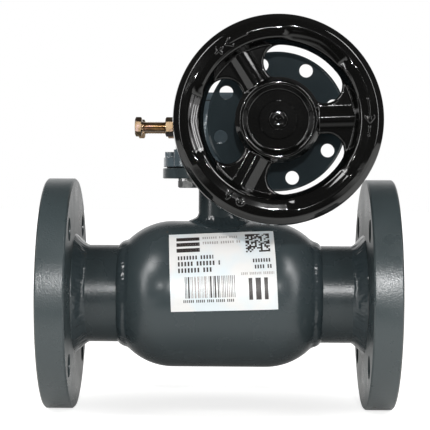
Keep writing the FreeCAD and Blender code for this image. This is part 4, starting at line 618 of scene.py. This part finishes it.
def wheelSpots(look):
    # points of the front skin in the flat blank: rows round each window, then rings over the rest
    rows = look["windowRows"]
    flat, gaps, aways, edges, outlines = [], [], [], [], []
    total = 0
    for a in look["spokeAngles"]:
        outline = windowOutline(look, a, look["windowStep"])
        along = np.roll(outline, -1, 0) - np.roll(outline, 1, 0)
        outward = np.stack([along[:, 1], -along[:, 0]], 1) / np.linalg.norm(along, axis=1)[:, None]
        outlines.append(outline)
        edges += [(total + k, total + (k + 1) % len(outline)) for k in range(len(outline))]
        for gap in rows:
            flat.append(outline + outward * gap)
            gaps.append(np.full(len(outline), gap))
            aways.append(outward)
            total += len(outline)
    fine = [p for a in look["spokeAngles"] for p in windowOutline(look, a, 0.3)]
    tree = kdtree.KDTree(len(fine))
    for k, p in enumerate(fine):
        tree.insert((p[0], p[1], 0), k)
    tree.balance()
    ringCount = round((wheelReach[-1] - wheelReach[0]) / (0.8 * look["mesh"])) + 1
    for k, reach in enumerate(np.linspace(wheelReach[0], wheelReach[-1], ringCount)):
        count = int(2 * math.pi * np.interp(reach, wheelReach, wheelR) / look["mesh"])
        t = np.linspace(0, 2 * math.pi, count, endpoint=False) + (k % 2) * math.pi / count
        ring = np.stack([reach * np.cos(t), reach * np.sin(t)], 1)
        if look["ringsNear"][0] < reach < look["ringsNear"][1]:
            clear = rows[-1] + look["rowsClear"]
            ring = ring[np.array([tree.find((p[0], p[1], 0))[2] > clear for p in ring])]
        flat.append(ring)
        gaps.append(np.full(len(ring), farFromWindow))
        aways.append(np.zeros((len(ring), 2)))
    return np.concatenate(flat), np.concatenate(gaps), np.concatenate(aways), edges, outlines


def makeHandwheel(look):
    flat, gaps, aways, edges, outlines = wheelSpots(look)
    made = geometry.delaunay_2d_cdt([Vector(p) for p in flat], edges, [], 0, 1e-6)
    spots = np.array([tuple(v) for v in made[0]])
    source = np.array([origin[0] for origin in made[3]])
    faces = np.array([f for f in made[2]])
    x, y = spots[faces].mean(1).T
    keep = np.hypot(x, y) > wheelReach[0] - 0.01
    for outline in outlines:
        inside = np.zeros(len(faces), bool)
        for (x0, y0), (x1, y1) in zip(outline, np.roll(outline, -1, 0)):
            inside ^= ((y0 > y) != (y1 > y)) & (x < (x1 - x0) * (y - y0) / (y1 - y0 + 1e-12) + x0)
        keep &= ~inside
    used, faces = usedPoints(faces[keep], len(spots))
    spots, gaps, aways = spots[used], gaps[source][used], aways[source][used]

    reach, angle = np.linalg.norm(spots, axis=1), np.arctan2(spots[:, 1], spots[:, 0])
    face = wheelFront(look, reach, angle, gaps)
    normal = wheelNormal(look, reach, angle, gaps, aways)
    # the back follows a softened profile, one sheet thickness behind
    kernel = np.hanning(look["backSoft"])
    kernel /= kernel.sum()
    border = look["backSoft"] // 2
    softR, softH = [np.convolve(np.pad(line, border, mode="reflect", reflect_type="odd"), kernel, "valid")
                    for line in (wheelR, wheelH)]
    alongR, alongH = np.gradient(softR), np.gradient(softH)
    size = np.hypot(alongR, alongH)
    backR = np.interp(reach, wheelReach, softR + look["sheet"] * alongH / size)
    backH = np.interp(reach, wheelReach, softH - look["sheet"] * alongR / size)
    extra = face[:, 2] - np.interp(reach, wheelReach, wheelH)
    back = np.stack([backR * np.cos(angle), backR * np.sin(angle), backH + extra * look["backShare"]], -1)
    count = len(face)
    borders = {}
    for a, b, c in faces:
        for edge in ((a, b), (b, c), (c, a)):
            if (edge[1], edge[0]) in borders:
                del borders[(edge[1], edge[0])]
            else:
                borders[edge] = 1
    strips = [(b, a, a + count, b + count) for a, b in borders]
    allFaces = [tuple(f) for f in faces] + [tuple(f) for f in faces[:, ::-1] + count] + strips
    points = onWheel(look, np.concatenate([face, back]))
    normals = np.concatenate([normal, -normal])
    normals = np.stack([normals[:, 0], -normals[:, 2], normals[:, 1]], 1)
    piece = newPiece("handwheelSheet", points, allFaces, wheelEnamel, "wheel_shaft", normals)
    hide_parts("handwheel")
    print("handwheel:", len(allFaces), "faces")


makeHandwheel(wheel)

# Marks pressed into the rim over the spokes, only signs for the sense of turning, as strokes of points:
# (along the rim, distance from the axis), mm
ringSign = [(2.3 * math.cos(a), 64.6 + 2.3 * math.sin(a)) for a in np.linspace(0, 2 * math.pi, 13)]
rimMarks = {
    "height": 0.6,
    "halfStroke": 1.15,          # from a stroke's middle to its foot
    "flank": 0.8,
    "clear": 0.04,               # lift over the rim's skin, so that the two never touch
    "sinkFrom": 1.2,             # outside this the patch dives under the skin
    "sinkOver": 0.5,
    "sinkDepth": 0.3,
    "patchTo": 1.9,
    "middle": 64.6,
    "along": (-15.5, 15.6),
    "out": (59.8, 69.6),
    "mesh": 0.3,
    "signs": {
        122: [[(-12, 64.6), (4, 64.6)], [(0.5, 67.4), (4, 64.6), (0.5, 61.8)], [(8, 64.6), (13.4, 64.6)],
              [(10.7, 61.9), (10.7, 67.3)]],
        2: [[(12, 64.6), (-4, 64.6)], [(-0.5, 67.4), (-4, 64.6), (-0.5, 61.8)], [(-8, 64.6), (-13.4, 64.6)]],
        242: [[(-7.5, 61.8), (-5.5, 67.2), (-3.5, 61.8)], [(p[0] + 4.0, p[1]) for p in ringSign]],
    },
}


def pressMarks(look, marks):
    points, faces = [], []
    t, r = np.meshgrid(np.arange(*marks["along"], marks["mesh"]), np.arange(*marks["out"], marks["mesh"]))
    grid = sheetFaces(t.shape[0], t.shape[1], False)
    reach = blankReach(look, r)
    for spokeAngle, strokes in marks["signs"].items():
        away = np.full(t.shape, np.inf)
        for stroke in strokes:
            for (x0, y0), (x1, y1) in zip(stroke, stroke[1:]):
                dx, dy = x1 - x0, y1 - y0
                share = np.clip(((t - x0) * dx + (r - y0) * dy) / (dx * dx + dy * dy), 0, 1)
                away = np.minimum(away, np.hypot(t - x0 - share * dx, r - y0 - share * dy))
        lift = marks["height"] * smoothStep((marks["halfStroke"] - away) / marks["flank"]) + marks["clear"]
        lift = lift - marks["sinkDepth"] * smoothStep((away - marks["sinkFrom"]) / marks["sinkOver"])
        angle = math.radians(spokeAngle) + t / marks["middle"]
        place = wheelFront(look, reach, angle) + wheelNormal(look, reach, angle) * lift[..., None]
        near = away.ravel() < marks["patchTo"]
        faces += [tuple(i + len(points) for i in f) for f in grid if all(near[i] for i in f)]
        points += list(place.reshape(-1, 3))
    used, faces = usedPoints(np.array(faces), len(points))
    spots = onWheel(look, np.array(points)[used])
    newPiece("rimSigns", spots, faces, wheelEnamel, "wheel_shaft")


pressMarks(wheel, rimMarks)

# Painted end of the worm shaft: a rounded nose with the lathe's centre hole in it.
# The profile is (place along the axis, radius) from the outside in, mm
shaftNose = {
    "profile": [(0.5, 6.7), (-0.5, 6.65), (-0.95, 6.3), (-1.1, 5.8), (-1.1, 4.3), (-0.8, 3.9), (-0.55, 3.6),
                (-0.5, 1.9), (-0.1, 1.3), (0.2, 0.02)],
    "around": 96,
    "sharpOver": 35,
}


def makeShaftNose(look, centre):
    place, radius = np.array(look["profile"]).T
    around = look["around"]
    turn = np.linspace(0, 2 * math.pi, around, endpoint=False)[:, None]
    along = np.broadcast_to(place, (around, len(place)))
    points = np.stack([radius * np.sin(turn), along, radius * np.cos(turn)], -1).reshape(-1, 3)
    faces = sheetFaces(around, len(place), True)
    newPiece("shaftNose", points + np.array(centre), faces, wheelEnamel, "wheel_shaft",
             sharpOver=look["sharpOver"])


makeShaftNose(shaftNose, wheel["centre"])
print("rim signs pressed")

# Uneven skin of all weld beads, slow, quick, fine and sideways: size of the noise round the bead in mm, how
# often it changes across it, and a number that keeps the four apart
beadNoise = [(9, 1.5, 0), (3.2, 3.0, 40), (1.5, 5.0, 80), (14, 0.8, 120)]


def weldBead(name, replaced, place, look, across):
    # place(share across the bead, angle round it) gives a point; the skin is uneven along its normal
    around = int(look["length"] / 0.6)
    t, turn = np.meshgrid(np.linspace(0, 1, across), np.linspace(0, 2 * math.pi, around, endpoint=False))
    base = place(t, turn)
    dt = place(np.clip(t + 0.02, 0, 1), turn) - place(np.clip(t - 0.02, 0, 1), turn)
    da = place(t, turn + 0.004) - place(t, turn - 0.004)
    normal = np.cross(dt, da)
    normal /= np.linalg.norm(normal, axis=-1)[..., None] + 1e-12
    radius = look["length"] / (2 * math.pi)

    def wander(size, share, seed):
        k = radius / size
        return np.array([[noise.noise(Vector((math.cos(a) * k, math.sin(a) * k, b * share + seed)))
                          for a, b in zip(rowA, rowT)] for rowA, rowT in zip(turn, t)])

    slow, quick, fine, shift = [wander(size, share, look["seed"] + apart) for size, share, apart in beadNoise]
    count = round(look["length"] / look["pitch"])
    phase = count * turn / (2 * math.pi) + look["bow"] * (2 * t - 1) ** 2 + 0.35 * slow
    ripple = np.abs(np.sin(math.pi * phase))
    side = look.get("side", 1)
    lift = look["ripple"] * (ripple - 0.6) + look["uneven"] * (slow + 0.45 * quick + 0.2 * fine)
    lift = lift * np.sin(math.pi * t) ** 0.5 * side
    slide = dt / (np.linalg.norm(dt, axis=-1)[..., None] + 1e-12) * (look["wave"] * shift)[..., None]
    points = base + normal * lift[..., None] + slide
    faces = sheetFaces(around, across, True, flip=side < 0)
    bead = newPiece(name, points.reshape(-1, 3), faces, weldPaint, "valve_body")
    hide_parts(replaced)


# Weld beads round the pipes, lengths in mm. The line of points (along the valve, radius) runs over the bead;
# its first and last point sink into the steel
flangeWeld = {
    "length": 268.0, "pitch": 3.4, "bow": 1.0, "ripple": 0.10, "uneven": 0.58, "wave": 0.5, "seed": 3.1,
    "line": [(-113.9, 47.0), (-113.2, 46.6), (-112.2, 45.9), (-109.0, 42.9), (-106.0, 40.0), (-104.2, 38.7),
             (-102.6, 38.0), (-101.4, 37.5)],
    "corner": 1.2, "across": 22,
}
bodyWeld = {
    "length": 255.0, "pitch": 3.0, "bow": 0.8, "ripple": 0.11, "uneven": 0.42, "wave": 0.55, "seed": 8.4,
    "line": [(-80.0, 37.5), (-78.9, 38.1), (-77.9, 39.4), (-76.6, 40.4), (-75.2, 41.1), (-74.0, 41.5),
             (-72.9, 41.8), (-71.9, 42.3), (-70.8, 43.1), (-69.6, 44.1), (-68.3, 44.8)],
    "corner": 1.2, "across": 26,
}


def ringBead(side, look):
    run, xs, rs = roundedProfile([(x, r, look["corner"]) for x, r in look["line"]])
    share = run / run[-1]

    def place(t, turn):
        x, r = np.interp(t, share, xs), np.interp(t, share, rs)
        return np.stack([side * -x, r * np.cos(turn), r * np.sin(turn)], -1)

    return place


pipeWelds = ((flangeWeld, "FlangeWeld", "_flange_weld"), (bodyWeld, "BodyWeld", "_body_weld"))
for side, sideName in ((-1, "left"), (1, "right")):
    for weld, pieceEnd, nodeEnd in pipeWelds:
        look = dict(weld, side=side, seed=weld["seed"] + side)
        weldBead(sideName + pieceEnd, sideName + nodeEnd, ringBead(side, look), look, look["across"])

neckWeld = {
    "length": 132.0, "pitch": 3.6, "bow": 0.9, "ripple": 0.16, "uneven": 0.85, "wave": 0.7, "seed": 1.7,
    "side": -1, "neck": 16.85, "legUp": 7.2, "legOut": 8.0,
    "sinkNeck": 0.3, "sinkShell": 0.5,     # how far its ends go into the steel
    "hollowOut": 1.7, "hollowDown": 2.1, "toeSwell": 0.5,
}
plateWeld = {
    "length": 115.0, "pitch": 2.8, "bow": 0.7, "ripple": 0.08, "uneven": 0.25, "wave": 0.2, "seed": 5.2,
    "side": 1, "neck": 16.85, "top": 90.6, "leg": 4.0, "sinkNeck": 0.2, "legOver": 0.1, "hollow": 0.2,
}


def saddlePlace(t, turn, look=neckWeld):
    # from the neck tube down onto the shell, a little hollow
    def shellHeight(r):
        return np.sqrt(shell["radius"] ** 2 - (r * np.sin(turn)) ** 2)

    top = shellHeight(look["neck"]) + look["legUp"]
    toe = look["neck"] + look["legOut"]
    toeZ = shellHeight(toe) - look["sinkShell"]
    start = look["neck"] - look["sinkNeck"]
    swell = np.sin(math.pi * t)
    r = start + (toe - start) * t - look["hollowOut"] * swell * (1 - t)
    z = top + (toeZ - top) * t - look["hollowDown"] * swell * (1 - t) + look["toeSwell"] * swell * t
    return np.stack([r * np.cos(turn), r * np.sin(turn), z], -1)


def platePlace(t, turn, look=plateWeld):
    r = look["neck"] - look["sinkNeck"] + (look["leg"] + look["legOver"]) * t
    z = look["top"] - look["leg"] * (1 - t) - look["hollow"] * np.sin(math.pi * t)
    return np.stack([r * np.cos(turn), r * np.sin(turn), z], -1)


weldBead("neckSaddleWeld", "neck_weld", saddlePlace, neckWeld, across=22)
weldBead("platePieceWeld", "plate_weld", platePlace, plateWeld, across=14)
print("weld beads laid")


# Stop bolts and their lock nuts with real threads and chamfered hexagons, lengths in mm, along +x
stopBolt = {
    "places": [(-22.0, 130.0), (22.0, 130.0)],   # y, z of the two bolts
    "headFace": -65.65, "headHeight": 5.3, "flats": 13.0, "chamferShare": 0.95,
    "thread": 8.0, "pitch": 1.25, "threadDepth": 0.68, "threadPlay": 0.02, "threadStart": 0.6,
    "threadEnd": -33.0, "threadSteps": 8, "shank": 3.4, "tip": -7.85, "tipRadius": 2.8,
    "nutFace": -42.3, "nutHeight": 6.5, "nutPlay": 0.05, "nutChamfer": 0.6,
    "around": 48,
    "sharpOver": 32,
}


def hexSide(look, low, high, turn):
    # columns over the hexagon's chamfered outside, from one face to the other, with a flat to the front
    corner = look["flats"] / 2 / np.cos((turn + math.pi / 6) % (math.pi / 3) - math.pi / 6)
    land = look["flats"] / 2 * look["chamferShare"]
    bite = (corner - land) * math.tan(math.radians(30))
    return [(np.full_like(turn, low), np.full_like(turn, land)), (low + bite, corner), (high - bite, corner),
            (np.full_like(turn, high), np.full_like(turn, land))]


def boltPiece(name, columns, turn, look):
    # the same turned piece at both places; a column is (place along x, radius) round the axis
    grid = np.stack([np.stack([x, r * -np.cos(turn), r * np.sin(turn)], -1) for x, r in columns], 1)
    points, faces = [], []
    for y, z in look["places"]:
        faces += sheetFaces(len(turn), len(columns), True, first=len(points), flip=True)
        points += list((grid + np.array([0, y, z])).reshape(-1, 3))
    return newPiece(name, points, faces, yellowZincPlate, "valve_body",
                    sharpOver=look["sharpOver"])


def makeStopBolts(look):
    turn = np.linspace(0, 2 * math.pi, look["around"], endpoint=False)

    def ring(x, radius):
        return np.full_like(turn, x), np.full_like(turn, radius)

    half = look["thread"] / 2
    face, under = look["headFace"], look["headFace"] + look["headHeight"]
    columns = [ring(face, 0.01), *hexSide(look, face, under, turn), ring(under, half)]
    x = under + look["threadStart"]
    while x < look["threadEnd"]:
        wave = np.abs(((x / look["pitch"] - turn / (2 * math.pi)) % 1) - 0.5) * 2
        cut = look["threadDepth"] * wave * min(1, (x - under) / 2)
        columns.append((np.full_like(turn, x), half - look["threadPlay"] - cut))
        x += look["pitch"] / look["threadSteps"]
    shank, tip = look["shank"], look["tip"]
    columns += [ring(look["threadEnd"] + 0.3, shank), ring(tip - 1, shank), ring(tip, look["tipRadius"]),
                ring(tip, 0.01)]
    bolts = boltPiece("stopBoltPair", columns, turn, look)
    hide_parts("stop_bolts")
    low, high = look["nutFace"], look["nutFace"] + look["nutHeight"]
    hole, bite = half + look["nutPlay"], look["nutChamfer"]
    columns = [ring(low + bite, hole), ring(low, hole + bite), *hexSide(look, low, high, turn)]
    columns.append(ring(high, hole))
    nuts = boltPiece("stopNutPair", columns, turn, look)
    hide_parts("stop_locknuts")


makeStopBolts(stopBolt)
print("stop bolts threaded")


# Sticker on the body's front: film with a generic print of bars, blocks and a chequer, without words
label = {
    # corners as (place along the valve, length round the body above its front line), from top left, clockwise
    "corners": [(-38.8, 55.2), (40.9, 61.7), (44.4, -7.5), (-36.0, -9.9)],
    "lift": 0.12,
    "printLift": 0.15,
    "film": "#dfdedc",
    "filmCool": "#d5dde0",
    "wave": (26.0, 0.15),        # width and depth of the film's waves, mm
    # print in shares of the width and of the height from the top: left, top, right, bottom
    "bars": [(0.07, 0.07, 0.29, 0.125), (0.07, 0.155, 0.29, 0.21), (0.07, 0.24, 0.29, 0.295),
             (0.735, 0.645, 0.77, 0.885), (0.80, 0.645, 0.85, 0.885), (0.88, 0.645, 0.915, 0.885)],
    "darkRules": [(0.08, 0.345, 0.415, 0.395), (0.08, 0.42, 0.475, 0.475), (0.08, 0.50, 0.40, 0.555),
                  (0.785, 0.42, 0.965, 0.465), (0.80, 0.495, 0.965, 0.54), (0.12, 0.868, 0.61, 0.90)],
    "paleRules": [(0.32, 0.068, 0.67, 0.105), (0.32, 0.15, 0.68, 0.19), (0.67, 0.578, 0.98, 0.608)],
    "block": 0.55,               # step of the blocks in heights of a rule, and the inked share of a step
    "groupGap": 0.8,             # gap after a group, in steps
    "groups": (3, 5, 7, 9),
    "stripes": (0.14, 0.605, 0.62, 0.85),
    "stripeWidths": (0.006, 0.006, 0.011, 0.016),
    "stripeGaps": (0.006, 0.009, 0.013),
    "stripesStop": 0.012,        # the last one starts at least this far from the right
    "paleStripes": 0.35,         # share of them in pale ink
    "chequer": (0.725, 0.05, 0.955, 0.335),
    "cells": 13,
    "darkCells": 0.55,
}
# tone, tone of the pinholes, how much of the ink covers
inks = {"blackThermalInk": ("#2a2422", "#6a625e", 0.66), "paleThermalInk": ("#9d9794", "#c9c5c2", 0.58)}


def onShell(u, v, lift, look=label):
    # u to the right and v downwards over the sticker, 0 to 1
    topLeft, topRight, lowRight, lowLeft = [np.array(c) for c in look["corners"]]
    u, v = np.asarray(u, float)[..., None], np.asarray(v, float)[..., None]
    flat = (lowLeft * (1 - u) + lowRight * u) * v + (topLeft * (1 - u) + topRight * u) * (1 - v)
    x, s = flat[..., 0], flat[..., 1]
    over = np.clip(np.abs(x) - shell["straightHalf"], 0, None)
    drop = shell["shoulder"] - np.sqrt(shell["shoulder"] ** 2 - over ** 2)
    r = shell["radius"] - drop + lift
    a = s / shell["radius"]
    return np.stack([x, -r * np.cos(a), r * np.sin(a)], -1)


def stickerPiece(name, boxes, lift, material):
    points, faces = [], []
    for left, top, right, bottom in boxes:
        across, down = max(2, int((right - left) / 0.02)), max(2, int((bottom - top) / 0.02))
        u, v = np.meshgrid(np.linspace(left, right, across), np.linspace(top, bottom, down))
        faces += sheetFaces(down, across, False, first=len(points), flip=True)
        points += list(onShell(u, v, lift).reshape(-1, 3))
    return newPiece(name, points, faces, material, "valve_body")


def hatchedRule(box, dice, look):
    # a line of equal upright blocks in groups, grey from afar as a line of print is
    left, top, right, bottom = box
    size = (bottom - top) * look["block"]
    blocks, place, inGroup = [], left, 0
    while place < right:
        blocks.append((place, top, min(place + size * look["block"], right), bottom))
        inGroup += 1
        place += size
        if inGroup > dice.choice(look["groups"]):
            place, inGroup = place + size * look["groupGap"], 0
    return blocks


def filmSkin(name, look):
    # Glossy polyester film, printed: white, cooler in clouds, with slow waves from the hand that laid it
    waveWidth, waveDepth = look["wave"]
    material, shader = newMaterial(name, Roughness=0.30, Specular_IOR_Level=0.5)
    spot = addNode(material, "TexCoord")
    clouds = addNode(material, "TexNoise", {"Scale": 1 / (waveWidth * mm), "Detail": 2.0},
                     {"Vector": spot.outputs["Object"]})
    sharper = addNode(material, "MapRange", rangeInputs((0.4, 0.6)), {0: clouds})
    tone = addNode(material, "Mix", {6: linearColour(look["filmCool"]), 7: linearColour(look["film"])},
                   {0: sharper}, data_type="RGBA")
    bump = addNode(material, "Bump", {"Distance": waveDepth * mm}, {"Height": clouds})
    wire(shader, {"Base Color": tone.outputs[2], "Normal": bump})
    return material


def inkSkin(name):
    # Thermal transfer ink: flat dark film with pinholes where the ribbon missed
    tone, pinholeTone, cover = inks[name]
    material, shader = newMaterial(name, Roughness=0.42)
    spot = addNode(material, "TexCoord")
    pinholes = addNode(material, "TexNoise", {"Scale": 1 / (0.7 * mm), "Detail": 1.0},
                       {"Vector": spot.outputs["Object"]})
    share = addNode(material, "MapRange", rangeInputs((cover, cover + 0.1)), {0: pinholes})
    mixed = addNode(material, "Mix", {6: linearColour(tone), 7: linearColour(pinholeTone)}, {0: share},
                    data_type="RGBA")
    wire(shader, {"Base Color": mixed.outputs[2]})
    return material


def makeSticker(look):
    dice = random.Random(11)
    stickerPiece("labelSheet", [(0, 0, 1, 1)], look["lift"], filmSkin("polyesterFilm", look))
    dark = list(look["bars"]) + [b for box in look["darkRules"] for b in hatchedRule(box, dice, look)]
    pale = [b for box in look["paleRules"] for b in hatchedRule(box, dice, look)]
    left, top, right, bottom = look["stripes"]
    place = left
    while place < right - look["stripesStop"]:
        width = dice.choice(look["stripeWidths"])
        (pale if dice.random() < look["paleStripes"] else dark).append((place, top, place + width, bottom))
        place += width + dice.choice(look["stripeGaps"])
    left, top, right, bottom = look["chequer"]
    wide, high = (right - left) / look["cells"], (bottom - top) / look["cells"]
    for row in range(look["cells"]):
        for column in range(look["cells"]):
            if dice.random() < look["darkCells"]:
                x, y = left + column * wide, top + row * high
                dark.append((x, y, x + wide, y + high))
    stickerPiece("labelDarkPrint", dark, look["printLift"], inkSkin("blackThermalInk"))
    stickerPiece("labelPalePrint", pale, look["printLift"], inkSkin("paleThermalInk"))


makeSticker(label)
print("sticker on")

print("scene ready")
